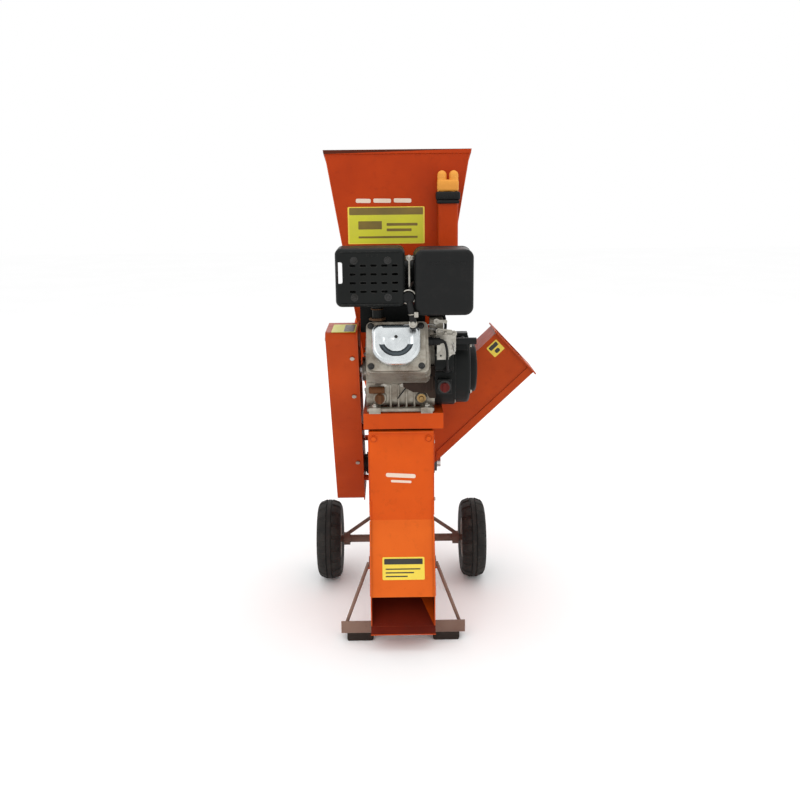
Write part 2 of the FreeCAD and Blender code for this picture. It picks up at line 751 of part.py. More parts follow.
def finned_block(d0, d1, half_x, count, centre_x):
    """Cylinder or head casting: a core with flat cooling fins across it."""
    block = box(centre_x - half_x + 12, centre_x + half_x - 12, CRANK_Y - d1, CRANK_Y - d0,
                CRANK_Z - FIN_HALF_H + 12, CRANK_Z + FIN_HALF_H - 12)
    pitch = (d1 - d0) / count
    for k in range(count):
        y = CRANK_Y - d1 + pitch * (k + 0.5)
        fin = box(centre_x - half_x, centre_x + half_x, y - FIN_T / 2, y + FIN_T / 2,
                  CRANK_Z - FIN_HALF_H, CRANK_Z + FIN_HALF_H)
        block = block.fuse(rounded(fin, Y_AXIS, 14))
    return block


def cylinder_head():
    block = finned_block(HEAD_AT, COVER_AT, 82, 4, HEAD_X)
    plug_hole = cyl_x(58, 90, CRANK_Y - PLUG_AT, CRANK_Z + PLUG_UP, 9)
    return tilted(block.cut(plug_hole))


def valve_cover():
    """Flanged cover with a raised middle on the end of the head."""
    x0 = COVER_X - COVER_W / 2
    low = CRANK_Z - COVER_H / 2
    joint = CRANK_Y - COVER_AT
    front = joint - COVER_PLATE - COVER_DOME
    plate = box(x0, x0 + COVER_W, joint - COVER_PLATE, joint, low, low + COVER_H)
    plate = rounded(plate, Y_AXIS, 26)
    dome = box(x0 + 10, x0 + COVER_W - 10, front, joint - COVER_PLATE, low + 10, low + COVER_H - 10)
    dome = rounded(dome, Y_AXIS, 22)
    dome = dome.makeFillet(7, [e for e in dome.Edges if e.BoundBox.YMax < front + 0.1])
    return tilted(plate.fuse(dome).removeSplitter())


def piston():
    crown = CRANK_Y - HEAD_AT + 2 + STROKE / 2
    return tilted(cyl_y(0, crown, crown + PISTON_L, CRANK_Z, BORE_R - RUN_FIT))


def crankshaft():
    shaft = cyl_x(PULLEY_X - PULLEY_W / 2 - 6, CASE_X + 62, CRANK_Y, CRANK_Z, CRANK_R)
    for x in (-48, 30):
        shaft = shaft.fuse(cyl_x(x, x + 18, CRANK_Y, CRANK_Z, CRANK_WEB_R))
    return shaft


def flywheel():
    x0 = CASE_X + 14
    wheel = cyl_x(x0, x0 + 12, CRANK_Y, CRANK_Z, SHROUD_R - 16)
    wheel = wheel.fuse(cyl_x(x0, x0 + 30, CRANK_Y, CRANK_Z, 34))
    for k in range(12):
        blade = box(x0 + 12, x0 + 30, CRANK_Y - 2, CRANK_Y + 2, CRANK_Z + 50, CRANK_Z + SHROUD_R - 20)
        blade.rotate(V(0, CRANK_Y, CRANK_Z), X_AXIS, k * 30)
        wheel = wheel.fuse(blade)
    return wheel.cut(cyl_x(x0 - 1, x0 + 31, CRANK_Y, CRANK_Z, CRANK_R))


def fan_shroud():
    """Fan housing with its air duct, switch box and throttle plate."""
    x0 = CASE_X
    x1 = x0 + SHROUD_D
    ring = cyl_x(x0, x1, CRANK_Y, CRANK_Z, SHROUD_R)
    duct = box(x0, x1 - 8, CRANK_Y - 128, CRANK_Y - 10, CRANK_Z + 10, CRANK_Z + 85)
    duct = rounded(duct, X_AXIS, 24)
    switch = rounded(box(x0 + 6, x0 + 44, CRANK_Y - 128, CRANK_Y - 88, CRANK_Z - 46, CRANK_Z - 6), Y_AXIS, 5)
    shell = ring.fuse(duct).fuse(switch).removeSplitter()
    hollow = cyl_x(x0 - 1, x1 - 3, CRANK_Y, CRANK_Z, SHROUD_R - SHROUD_SHEET)
    throat = box(x0 - 1, x1 - 12, CRANK_Y - 122, CRANK_Y - 16, CRANK_Z + 16, CRANK_Z + 79)
    shell = shell.cut(hollow).cut(throat)
    shell = shell.cut(cyl_x(x1 - 5, x1 + 1, CRANK_Y, CRANK_Z, RECOIL_R - 26))
    plate = box(x0 + 4, x0 + 36, CRANK_Y - 130.5, CRANK_Y - 128, CRANK_Z + 50, CRANK_Z + 104)
    return shell.fuse(plate).fuse(lever_pivot(*THROTTLE_AT))


def recoil_cover():
    """Starter housing with its slots and the tower where the rope leaves."""
    x1 = RECOIL_X0 + RECOIL_D
    x2 = x1 + RECOIL_NOSE
    cup = cyl_x(RECOIL_X0, x1, CRANK_Y, CRANK_Z, RECOIL_R)
    nose = cyl_x(x1, x2, CRANK_Y, CRANK_Z, RECOIL_R - 30)
    cup = cup.makeFillet(9, [e for e in cup.Edges if e.BoundBox.XMin > x1 - 0.1])
    nose = nose.makeFillet(8, [e for e in nose.Edges if e.BoundBox.XMin > x2 - 0.1])
    hollow = cyl_x(RECOIL_X0 - 1, x1 - 4, CRANK_Y, CRANK_Z, RECOIL_R - SHROUD_SHEET)
    tower = box(RECOIL_X0 + 4, RECOIL_X0 + 34, CRANK_Y - 74, CRANK_Y - 30,
                CRANK_Z + 60, CRANK_Z + ROPE_UP + 16)
    cup = cup.fuse(nose).fuse(rounded(tower, X_AXIS, 8)).cut(hollow)
    for k in range(10):
        slot = box(x1 - 6, x1 + 4, CRANK_Y - 4, CRANK_Y + 4, CRANK_Z + 72, CRANK_Z + 86)
        slot.rotate(V(0, CRANK_Y, CRANK_Z), X_AXIS, k * 36 + 10)
        cup = cup.cut(slot)
    return cup.cut(cyl_y(ROPE_X, CRANK_Y - 76, CRANK_Y, CRANK_Z + ROPE_UP, ROPE_R + 0.9))


def starter_grip():
    """T-shaped pull grip resting against the rope exit."""
    y = CRANK_Y - 74 - GAP
    z = CRANK_Z + ROPE_UP
    stem = cyl_y(ROPE_X, y - 22, y, z, 9)
    bar = box(ROPE_X - 36, ROPE_X + 36, y - 40, y - 22, z - 9, z + 9)
    grip = stem.fuse(rounded(bar, X_AXIS, 6)).removeSplitter()
    return grip.cut(cyl_y(ROPE_X, y - 12, y + 1, z, ROPE_R + 0.3))


def starter_rope():
    y = CRANK_Y - 74
    return cyl_y(ROPE_X, y - 11, y + 20, CRANK_Z + ROPE_UP, ROPE_R)


def tail_place():
    """Y and Z of the tail pipe, low on the can's left end."""
    return MUFFLER_Y0 + 48, MUFFLER_Z0 + 32


def muffler():
    """Hollow can with its pipe up from the head, its tail pipe and the shield's bosses."""
    can = soft_box(MUFFLER_X0, MUFFLER_X1, MUFFLER_Y0, MUFFLER_Y1, MUFFLER_Z0, MUFFLER_Z1, MUFFLER_ROUND)
    flange = cyl_z(EXHAUST_X, EXHAUST_Y - 5, MUFFLER_Z0 - 16, MUFFLER_Z0 + 2, EXHAUST_R + 4)
    pipe = cyl_z(EXHAUST_X, EXHAUST_Y, MUFFLER_Z0 - 102, MUFFLER_Z0 - 15, EXHAUST_R)
    head = tilted(box(-100, 100, CRANK_Y - COVER_AT, CRANK_Y - 60, CRANK_Z - 100, CRANK_Z + FIN_HALF_H))
    tail_y, tail_z = tail_place()
    tail = cyl_x(MUFFLER_X0 - TAIL_L, MUFFLER_X0 + 2, tail_y, tail_z, TAIL_R)
    can = can.fuse(flange).fuse(pipe.cut(head)).fuse(tail)
    for x in (MUFFLER_X0 + 24, MUFFLER_X1 - 24):
        for z in (MUFFLER_Z0 + 18, MUFFLER_Z1 - 18):
            can = can.fuse(cyl_y(x, MUFFLER_Y0 - 20, MUFFLER_Y0 + 8, z, 5))
    t = MUFFLER_SHEET
    hollow = soft_box(MUFFLER_X0 + t, MUFFLER_X1 - t, MUFFLER_Y0 + t, MUFFLER_Y1 - t,
                      MUFFLER_Z0 + t, MUFFLER_Z1 - t, MUFFLER_ROUND - t)
    inlet = cyl_z(EXHAUST_X, EXHAUST_Y, MUFFLER_Z0 - 120, MUFFLER_Z0 + 4, EXHAUST_R - 3)
    outlet = cyl_x(MUFFLER_X0 - TAIL_L - 1, MUFFLER_X0 + 4, tail_y, tail_z, TAIL_R - 2)
    return can.removeSplitter().cut(hollow).cut(inlet).cut(outlet)


def muffler_shield():
    """Pressed shield round the front of the muffler, open at the back."""
    t = SHIELD_SHEET
    x0 = MUFFLER_X0 - SHIELD_GAP - t
    x1 = MUFFLER_X1 + 20
    y0 = MUFFLER_Y0 - 22
    z0 = MUFFLER_Z0 - 8
    z1 = MUFFLER_Z1 + 12
    open_y = MUFFLER_Y1 - 32
    shell = soft_box(x0, x1, y0, open_y + 14, z0, z1, 16)
    shell = shell.cut(soft_box(x0 + t, x1 - t, y0 + t, open_y + 30, z0 + t, z1 - t, 15))
    shell = shell.cut(box(x0 - 5, x1 + 5, open_y, open_y + 50, z0 - 15, z1 + 15))
    shell = shell.cut(cyl_z(EXHAUST_X, EXHAUST_Y - 5, z0 - 4, z0 + 6, EXHAUST_R + 6))
    tail_y, tail_z = tail_place()
    shell = shell.cut(cyl_x(x0 - 1, x0 + t + 1, tail_y, tail_z, TAIL_R + 3))
    window = box(x0 + 5, x0 + SHIELD_GAP - 4, y0 - 10, y0 + 10, z0 + 62, z1 - 34)
    shell = shell.cut(rounded(window, Y_AXIS, 5))
    for row in range(4):
        for col in range(5):
            x = x0 + 37 + col * 27
            z = z0 + 38 + row * 22
            shell = shell.cut(rounded(box(x, x + 16, y0 - 10, y0 + 10, z, z + 6), Y_AXIS, 2.5))
    return shell


def heat_plate():
    """Black plate between the muffler and the tank, on arms from the tank posts."""
    y = MUFFLER_Y1 + 4
    top = TANK_Z0 - 4
    plate = box(MUFFLER_X0 + 32, MUFFLER_X1 + 76, y, y + SHIELD_SHEET, top - HEAT_PLATE_H, top)
    for x in tank_post_places():
        plate = plate.fuse(box(x - 8, x + 8, y, CRANK_Y + 10, top - 12, top - 12 + SHIELD_SHEET))
    return plate.removeSplitter()


def air_cleaner_cover():
    cover = box(CLEANER_X0, CLEANER_X1, CLEANER_Y0, CLEANER_Y1, CLEANER_Z0, CLEANER_Z1)
    cover = rounded(cover, Y_AXIS, 22)
    cover = cover.makeFillet(12, [e for e in cover.Edges if e.BoundBox.YMax < CLEANER_Y0 + 0.1])
    inner = box(CLEANER_X0 + 4, CLEANER_X1 - 4, CLEANER_Y0 + 10, CLEANER_Y1 + 1,
                CLEANER_Z0 + 4, CLEANER_Z1 - 4)
    return cover.cut(rounded(inner, Y_AXIS, 18))


def air_cleaner_base():
    tray = box(CLEANER_X0, CLEANER_X1, CLEANER_Y1, CLEANER_Y1 + CLEANER_TRAY, CLEANER_Z0, CLEANER_Z1)
    back = CLEANER_Y1 + CLEANER_TRAY
    elbow = box(CLEANER_X0 + 36, CLEANER_X0 + 86, back, back + 30, CLEANER_Z0 - 21, CLEANER_Z0 + 60)
    return rounded(tray, Y_AXIS, 22).fuse(rounded(elbow, X_AXIS, 9)).removeSplitter()


def air_filter():
    """Pleated element inside the cleaner."""
    x0 = CLEANER_X0 + 22
    x1 = CLEANER_X1 - 22
    z0 = CLEANER_Z0 + 25
    z1 = CLEANER_Z1 - 23
    body = rounded(box(x0, x1, CLEANER_Y0 + 22, CLEANER_Y1, z0, z1), Y_AXIS, 20)
    for k in range(9):
        x = x0 + 10 + k * 10.5
        body = body.cut(box(x, x + 4, CLEANER_Y0 + 21, CLEANER_Y1 - 10, z1 - 8, z1 + 4))
        body = body.cut(box(x, x + 4, CLEANER_Y0 + 21, CLEANER_Y1 - 10, z0 - 5, z0 + 8))
    return body


def carburettor():
    z0 = CRANK_Z + 111
    z1 = CLEANER_Z0 - 21
    body = rounded(box(81, 118, CRANK_Y - 101, CRANK_Y - 57, z0, z1), X_AXIS, 7)
    bowl = cyl_z(CASE_X + 4, CRANK_Y - 79, z0 - 18, z0, 17)
    body = body.fuse(bowl).removeSplitter()
    return body.fuse(lever_pivot(*CHOKE_AT)).fuse(lever_pivot(*FUEL_AT))


def lever(x, y, z, length, angle, knob):
    """Flat lever on a pivot along Y, pointing up at rest and leaned by an angle."""
    arm = box(x - 4, x + 4, y - 3, y, z, z + length)
    arm = arm.fuse(cyl_y(x, y - 3, y, z, 8)).fuse(cyl_y(x, y - 8, y, z + length, knob))
    arm = arm.cut(cyl_y(x, y - 9, y + 1, z, LEVER_PIN_R + RUN_FIT)).removeSplitter()
    arm.rotate(V(x, y, z), Y_AXIS, angle)
    return arm


def lever_pivot(x, y, z):
    return cyl_y(x, y - 6, y + 1, z, LEVER_PIN_R)


def throttle_lever():
    return lever(*THROTTLE_AT, 34, 25, 6)


def choke_lever():
    return lever(*CHOKE_AT, 24, 90, 5)


def fuel_lever():
    return lever(*FUEL_AT, 22, 90, 4.5)


def switch_knob():
    x = CASE_X + 25
    y = CRANK_Y - 128
    z = CRANK_Z - 26
    knob = cyl_y(x, y - 8, y - GAP, z, 13)
    grip = box(x - 4, x + 4, y - 15, y - 8, z - 12, z + 12)
    return knob.fuse(grip).removeSplitter()


def dipstick():
    """Oil filler plug low on the front of the crankcase."""
    case_y = CRANK_Y - CASE_FRONT
    head = cyl_y(DIPSTICK_X, case_y - 14, case_y - GAP, PLUG_Z, PLUG_R + 5)
    tab = box(DIPSTICK_X - 4, DIPSTICK_X + 4, case_y - 23, case_y - 14, PLUG_Z - 12, PLUG_Z + 12)
    stick = cyl_y(DIPSTICK_X, case_y - 14, case_y + 29, PLUG_Z, PLUG_R - RUN_FIT)
    return head.fuse(tab).fuse(stick).removeSplitter()


def drain_plug():
    case_y = CRANK_Y - CASE_FRONT
    return [cyl_y(-DIPSTICK_X, case_y - 8, case_y, PLUG_Z, 8)]


def fuel_tank():
    """Two pressed halves on a seam flange, hollow, with an open filler neck."""
    t = TANK_SHEET
    seam_z = TANK_Z0 + 60
    tank = soft_box(TANK_X0, TANK_X1, TANK_Y0, TANK_Y1, TANK_Z0, TANK_Z1, TANK_ROUND)
    seam = box(TANK_X0 - 5, TANK_X1 + 5, TANK_Y0 - 5, TANK_Y1 + 4, seam_z, seam_z + 5)
    neck = cyl_z(FILLER_X, FILLER_Y, TANK_Z1 - 4, NECK_TOP, NECK_R)
    hollow = soft_box(TANK_X0 + t, TANK_X1 - t, TANK_Y0 + t, TANK_Y1 - t, TANK_Z0 + t, TANK_Z1 - t,
                      TANK_ROUND - t)
    filler = cyl_z(FILLER_X, FILLER_Y, TANK_Z1 - 6, NECK_TOP + 1, NECK_R - 2)
    return tank.fuse(rounded(seam, Z_AXIS, 28)).fuse(neck).removeSplitter().cut(hollow).cut(filler)


def tank_post_places():
    return (-62, 58)


def tank_brackets():
    return [box(x - 12, x + 12, CRANK_Y + 10, CRANK_Y + 60, CRANK_Z + CASE_TOP - 12, TANK_Z0)
            for x in tank_post_places()]


def fuel_cap():
    cap = cyl_z(FILLER_X, FILLER_Y, NECK_TOP, NECK_TOP + CAP_H, CAP_R)
    for k in range(12):
        angle = math.radians(30 * k)
        x = FILLER_X + (CAP_R + 2) * math.cos(angle)
        y = FILLER_Y + (CAP_R + 2) * math.sin(angle)
        cap = cap.cut(cyl_z(x, y, NECK_TOP, NECK_TOP + CAP_H + 1, 4))
    return cap


def spark_plug():
    y = CRANK_Y - PLUG_AT
    z = CRANK_Z + PLUG_UP
    body = cyl_x(64, 84, y, z, 6.5)
    return tilted(body.fuse(hex_x(74.5, 84, y, z, 21)).removeSplitter())


def plug_cap():
    return tilted(cyl_x(84, CAP_END_X, CRANK_Y - PLUG_AT, CRANK_Z + PLUG_UP, 10))


def lead_points():
    """Centre line of the ignition lead, from the plug cap to the shroud."""
    start = tilted(Part.Vertex(V(CAP_END_X, CRANK_Y - PLUG_AT, CRANK_Z + PLUG_UP))).Point
    end = V(CASE_X + 31, CRANK_Y - 128, CRANK_Z + 21)
    return [start, start + V(13, 0, 0), start + V(19, -10, -24), start + V(18, -17, -54),
            end + V(0, -30, 8), end + V(0, -12, 0), end]


def rounded_path(points, share=0.45):
    """Straight runs joined by tangent arcs; each arc is as large as its two runs allow."""
    edges = []
    here = points[0]
    for k in range(1, len(points) - 1):
        back = points[k - 1] - points[k]
        ahead = points[k + 1] - points[k]
        turn = math.pi - back.getAngle(ahead)
        cut = share * min(back.Length, ahead.Length)
        r = cut / math.tan(turn / 2)
        back.normalize()
        ahead.normalize()
        a = points[k] + back * cut
        b = points[k] + ahead * cut
        middle = back + ahead
        middle.normalize()
        reach = r / math.cos(turn / 2)
        m = points[k] + middle * (reach - r)
        edges.append(Part.LineSegment(here, a).toShape())
        edges.append(Part.Arc(a, m, b).toShape())
        here = b
    edges.append(Part.LineSegment(here, points[-1]).toShape())
    return Part.Wire(edges)


def tube_along(points, r, share=0.45):
    path = rounded_path(points, share)
    first = points[1] - points[0]
    ring = Part.Wire([Part.Circle(points[0], first, r).toShape()])
    return path.makePipeShell([ring], True, True)


def ignition_lead():
    return tube_along(lead_points(), 3.5)


# ================================================================ hopper

def hopper_section(inset, z, front_y, back_y, half):
    return [
        (-half + inset, front_y + inset, z),
        (half - inset, front_y + inset, z),
        (half - inset, back_y - inset, z),
        (-half + inset, back_y - inset, z),
    ]


def hopper_shell(inset, low, extra):
    """Four-sided funnel up to the front rim's height; the slanting back is trimmed later."""
    base = DECK_BASE_Z
    grow = extra / (RIM_Z - base)
    bottom = hopper_section(inset, base - low, THROAT_Y0, THROAT_Y1, HALF)
    half = RIM_W / 2 + grow * (RIM_W / 2 - HALF)
    front = RIM_FRONT_Y + grow * (RIM_FRONT_Y - THROAT_Y0)
    lean = (RIM_BACK_Y - THROAT_Y1) / (RIM_BACK_Z - base)
    back = THROAT_Y1 + lean * (RIM_Z + extra - base)
    top = hopper_section(inset, RIM_Z + extra, front, back, half)
    return loft([bottom, top])


def above_rim(raise_by):
    """Everything above the slanting rim plane."""
    slope = (RIM_Z - RIM_BACK_Z) / (RIM_BACK_Y - RIM_FRONT_Y)
    near = RIM_FRONT_Y - FAR_CUT
    far = RIM_BACK_Y + FAR_CUT
    points = [
        (near, RIM_Z + raise_by + (RIM_FRONT_Y - near) * slope),
        (far, RIM_Z + raise_by - (far - RIM_FRONT_Y) * slope),
        (far, RIM_Z + 2 * FAR_CUT),
        (near, RIM_Z + 2 * FAR_CUT),
    ]
    return prism_x(points, -RIM_W, RIM_W)


def hopper_walls():
    shell = hopper_shell(0, 0, 0).cut(hopper_shell(HOPPER_SHEET, 1, 1))
    return shell.cut(above_rim(0))


def hopper():
    """Welded hopper: walls, bolting flange, turned rim and the curtain's rod."""
    whole = hopper_walls().fuse(hopper_flange()).fuse(hopper_rim()).fuse(curtain_rod())
    return whole.removeSplitter()


def hopper_flange():
    plate = box(-HALF - 15, HALF + 15, THROAT_Y0 - 14, THROAT_Y1 + 14, BODY_TOP, DECK_BASE_Z)
    hole = box(-INNER + 10, INNER - 10, THROAT_Y0 + 10, THROAT_Y1 - 10, BODY_TOP - 1, DECK_BASE_Z + 1)
    return plate.cut(hole)


def hopper_bolts():
    bolts = []
    for y in (THROAT_Y0 + 30, THROAT_Y1 - 30):
        bolts.append(cyl_z(HALF + 8, y, DECK_BASE_Z, DECK_BASE_Z + 6, 5.5))
        bolts.append(cyl_z(-HALF - 8, y, DECK_BASE_Z, DECK_BASE_Z + 6, 5.5))
    return bolts


def rim_band(inset, raise_by):
    """A slab of the hopper's outside, parallel to the rim plane."""
    whole = hopper_shell(inset, 0, 30)
    return whole.cut(above_rim(raise_by)).common(above_rim(raise_by - RIM_HEM))


def hopper_rim():
    """Turned hem round the outside of the hopper's mouth."""
    outer = rim_band(-4, 0)
    return outer.cut(hopper_shell(0, 0, 31))


def curtain_line_y(z):
    return THROAT_Y0 + (RIM_FRONT_Y - THROAT_Y0) * (z - DECK_BASE_Z) / (RIM_Z - DECK_BASE_Z)


def curtain_axis():
    """Y, Z and the hopper's half width where the curtain hangs."""
    z = DECK_BASE_Z + CURTAIN_UP
    y = curtain_line_y(z) + HOPPER_SHEET + 14
    half = HALF + (RIM_W / 2 - HALF) * CURTAIN_UP / (RIM_Z - DECK_BASE_Z)
    return y, z, half


def splash_curtain():
    """Rubber throwback curtain across the hopper, hung from its front wall."""
    y, z, hopper_half = curtain_axis()
    half = hopper_half - 42
    flap = box(-half, half, y - CURTAIN_T / 2, y + CURTAIN_T / 2, z - CURTAIN_L, z)
    for k in range(1, CURTAIN_STRIPS):
        x = -half + k * 2 * half / CURTAIN_STRIPS
        flap = flap.cut(box(x - 1, x + 1, y - 3, y + 3, z - CURTAIN_L - 1, z - 28))
    return flap.fuse(cyl_x(-half, half, y, z, CURTAIN_ROD_R + 2)).removeSplitter().cut(
        cyl_x(-half - 1, half + 1, y, z, CURTAIN_ROD_R + RUN_FIT))


def curtain_rod():
    y, z, hopper_half = curtain_axis()
    whole = cyl_x(-hopper_half, hopper_half, y, z, CURTAIN_ROD_R)
    return whole.common(hopper_shell(HOPPER_SHEET / 2, 1, 1))


# ================================================================ push stick

def holder_y1():
    """Back of the holder: just in front of the hopper's front wall at its foot."""
    return curtain_line_y(HOLDER_LOW) - 1


def stick_holder():
    y1 = holder_y1()
    y0 = y1 - HOLDER_D
    x0 = STICK_X - HOLDER_W / 2
    x1 = STICK_X + HOLDER_W / 2
    tube = rounded(box(x0, x1, y0, y1, HOLDER_LOW, HOLDER_TOP), Z_AXIS, 7)
    t = HOLDER_SHEET
    bore = rounded(box(x0 + t, x1 - t, y0 + t, y1 - t, HOLDER_LOW + 3, HOLDER_TOP + 1), Z_AXIS, 5)
    tube = tube.cut(bore)
    bracket = box(x0 + 8, x1 - 8, y1, y1 + 60, HOLDER_TOP - 60, HOLDER_TOP - 30)
    foot = box(x0 + 4, x0 + 30, y1, y1 + 60, HOLDER_LOW + 20, HOLDER_LOW + 50)
    outside = hopper_shell(0, 0, 0)
    return tube.fuse(bracket.fuse(foot).cut(outside)).removeSplitter()


def stick_parts():
    """The stick's shaft with its black collar, and the yellow two-knuckle head on top."""
    mid_y = holder_y1() - HOLDER_D / 2
    z0 = HOLDER_TOP + STICK_COLLAR
    shaft = box(STICK_X - 20, STICK_X + 20, mid_y - 15, mid_y + 15, HOLDER_LOW + 8, HOLDER_TOP + 14)
    collar = box(STICK_X - 35, STICK_X + 35, mid_y - 26, mid_y + 26, HOLDER_TOP + GAP, z0)
    body = rounded(shaft, Z_AXIS, 6).fuse(rounded(collar, Z_AXIS, 9)).removeSplitter()
    head = box(STICK_X - 31, STICK_X + 31, mid_y - 17, mid_y + 17, z0, z0 + STICK_HEAD / 2)
    head = rounded(head, Z_AXIS, 8)
    knuckle_z = z0 + STICK_HEAD - KNUCKLE_R
    for x in (STICK_X - 17, STICK_X + 17):
        head = head.fuse(cyl_z(x, mid_y, z0 + 1, knuckle_z, KNUCKLE_R))
        head = head.fuse(Part.makeSphere(KNUCKLE_R, V(x, mid_y, knuckle_z)))
    return [body, head]


# ================================================================ side chute

def chute_frame():
    """Points of the side chute in X and Z: along it, and across it."""
    a = math.radians(CHUTE_TILT)
    along = (math.cos(a), math.sin(a))
    across = (-math.sin(a), math.cos(a))
    return along, across


def chute_point(run, rise):
    along, across = chute_frame()
    return (HALF + run * along[0] + rise * across[0], CHUTE_LOW_Z + run * along[1] + rise * across[1])


def chute_outline(bottom, top):
    """Chute seen from the front, between two heights above its lower edge."""
    along, across = chute_frame()

    def where_x_is(x, rise):
        return chute_point((x - HALF - rise * across[0]) / along[0], rise)

    near_top = where_x_is(HALF, top)
    limit = BODY_TOP - 8
    points = [where_x_is(HALF, bottom), chute_point(CHUTE_L, bottom), chute_point(CHUTE_L, top)]
    if near_top[1] > limit:
        clear = DECK_X1 + 12
        points.append(where_x_is(clear, top))
        points.append((clear, limit))
        points.append((HALF, limit))
    else:
        points.append(near_top)
    return points


def chipper_chute():
    y0 = CHUTE_Y0
    y1 = CHUTE_Y0 + CHUTE_D
    front = prism_y(chute_outline(0, CHUTE_H), y0, y0 + SHEET)
    back = prism_y(chute_outline(0, CHUTE_H), y1 - SHEET, y1)
    duct = prism_y(chute_outline(CHUTE_FLOOR, CHUTE_H), y0, y1)
    hollow = prism_y(chute_outline(CHUTE_FLOOR + SHEET, CHUTE_H - SHEET), y0 + SHEET, y1 - SHEET)
    mouth = prism_y(
        [
            chute_point(CHUTE_L - 40, CHUTE_FLOOR + SHEET),
            chute_point(CHUTE_L + 20, CHUTE_FLOOR + SHEET),
            chute_point(CHUTE_L + 20, CHUTE_H - SHEET),
            chute_point(CHUTE_L - 40, CHUTE_H - SHEET),
        ],
        y0 + SHEET,
        y1 - SHEET,
    )
    shell = front.fuse(back).fuse(duct).removeSplitter().cut(hollow).cut(mouth)
    strip = prism_y(
        [
            chute_point(24, 0),
            chute_point(CHUTE_L, 0),
            chute_point(CHUTE_L, CHUTE_STRIP),
            chute_point(24 + CHUTE_STRIP, CHUTE_STRIP),
        ],
        y0 - 4,
        y0,
    )
    return shell.fuse(strip).removeSplitter()


def chute_rim():
    """Flange round the mouth of the side chute."""
    y0 = CHUTE_Y0 - 10
    y1 = CHUTE_Y0 + CHUTE_D + 10
    outer = prism_y(
        [
            chute_point(CHUTE_L, -8),
            chute_point(CHUTE_L + 4, -8),
            chute_point(CHUTE_L + 4, CHUTE_H + 8),
            chute_point(CHUTE_L, CHUTE_H + 8),
        ],
        y0,
        y1,
    )
    hole = prism_y(
        [
            chute_point(CHUTE_L - 1, CHUTE_FLOOR + SHEET),
            chute_point(CHUTE_L + 5, CHUTE_FLOOR + SHEET),
            chute_point(CHUTE_L + 5, CHUTE_H - SHEET),
            chute_point(CHUTE_L - 1, CHUTE_H - SHEET),
        ],
        CHUTE_Y0 + SHEET,
        CHUTE_Y0 + CHUTE_D - SHEET,
    )
    return outer.cut(hole)


# ================================================================ running gear

def foot_bar():
    """Angle bar across the front that carries the rubber feet."""
    half = FOOT_BAR_W / 2
    y0 = FOOT_BAR_Y0
    y1 = FOOT_BAR_Y0 + FOOT_BAR_D
    plate = box(-half, half, y0, y1, BAR_LOW_Z, BAR_LOW_Z + FOOT_BAR_T)
    web = box(-half, half, y0, y0 + FOOT_BAR_T, BAR_LOW_Z, BAR_TOP_Z)
    bar = plate.fuse(web).removeSplitter()
    for x in (-FOOT_X, FOOT_X):
        bar = bar.cut(cyl_z(x, 0, BAR_LOW_Z - 1, BAR_LOW_Z + FOOT_BAR_T + 1, ANCHOR_R))
    return bar


def rubber_feet():
    pads = []
    for sign in (-1, 1):
        x = sign * FOOT_X
        pad = box(x - FOOT_LX / 2, x + FOOT_LX / 2, -25, 25, 0, FOOT_H)
        pads.append(rounded(pad, Z_AXIS, 6).cut(cyl_z(x, 0, -1, FOOT_H + 1, ANCHOR_R)))
    return pads


def foot_posts():
    """Two flat bars that hold the foot bar under the chute floor."""
    lean = math.tan(floor_line()[0])
    y0 = FOOT_BAR_Y0 + FOOT_BAR_T
    y1 = FOOT_BAR_Y0 + FOOT_BAR_D
    low = BAR_LOW_Z + FOOT_BAR_T
    under0 = MOUTH_LOW_Z + (y0 - MOUTH_Y) * lean
    under1 = MOUTH_LOW_Z + (y1 - MOUTH_Y) * lean
    outline = [(y0, low), (y1, low), (y1, under1), (y0, under0)]
    return [prism_x(outline, x, x + POST_T) for x in (-HALF, HALF - POST_T)]


def stay(sign):
    top = V(HALF + STAY_W / 2 + 1, 12, 226)
    low = V(FOOT_BAR_W / 2 - 10, -5, BAR_LOW_Z + FOOT_BAR_T + 6)
    bar = rod(low, top, STAY_W / 2)
    ear = box(HALF, HALF + 5, -2, 26, 214, 240)
    shoe_z = BAR_LOW_Z + FOOT_BAR_T
    shoe = box(FOOT_BAR_W / 2 - 22, FOOT_BAR_W / 2, -15, 6, shoe_z, shoe_z + 5)
    whole = bar.fuse(ear).fuse(shoe)
    whole = whole.cut(box(0, HALF, -100, 100, 0, 400))
    return whole if sign > 0 else mirror_x(whole)


def front_stays():
    return [stay(1), stay(-1)]


def axle_tube():
    half = TRACK / 2 - TYRE_W / 2 + 2
    tube = cyl_x(-half, half, WHEEL_Y, WHEEL_Z, AXLE_R)
    pins = cyl_x(-TRACK / 2 - 34, TRACK / 2 + 34, WHEEL_Y, WHEEL_Z, AXLE_PIN_R)
    return tube.fuse(pins).removeSplitter()


def axle_brace(sign):
    top = V(HALF + 6, WHEEL_Y, 206)
    low = V(TRACK / 2 - TYRE_W / 2 - 16, WHEEL_Y, WHEEL_Z + 16)
    bar = rod(low, top, 6)
    collar = cyl_x(TRACK / 2 - TYRE_W / 2 - 26, TRACK / 2 - TYRE_W / 2 - 6, WHEEL_Y, WHEEL_Z, 21)
    ear = box(HALF, HALF + 5, WHEEL_Y - 14, WHEEL_Y + 14, 192, 224)
    whole = bar.fuse(ear).cut(box(0, HALF, 300, 600, 0, 400)).fuse(collar)
    whole = whole.cut(cyl_x(100, 260, WHEEL_Y, WHEEL_Z, AXLE_R)).removeSplitter()
    return whole if sign > 0 else mirror_x(whole)


def axle_braces():
    return [axle_brace(1), axle_brace(-1)]


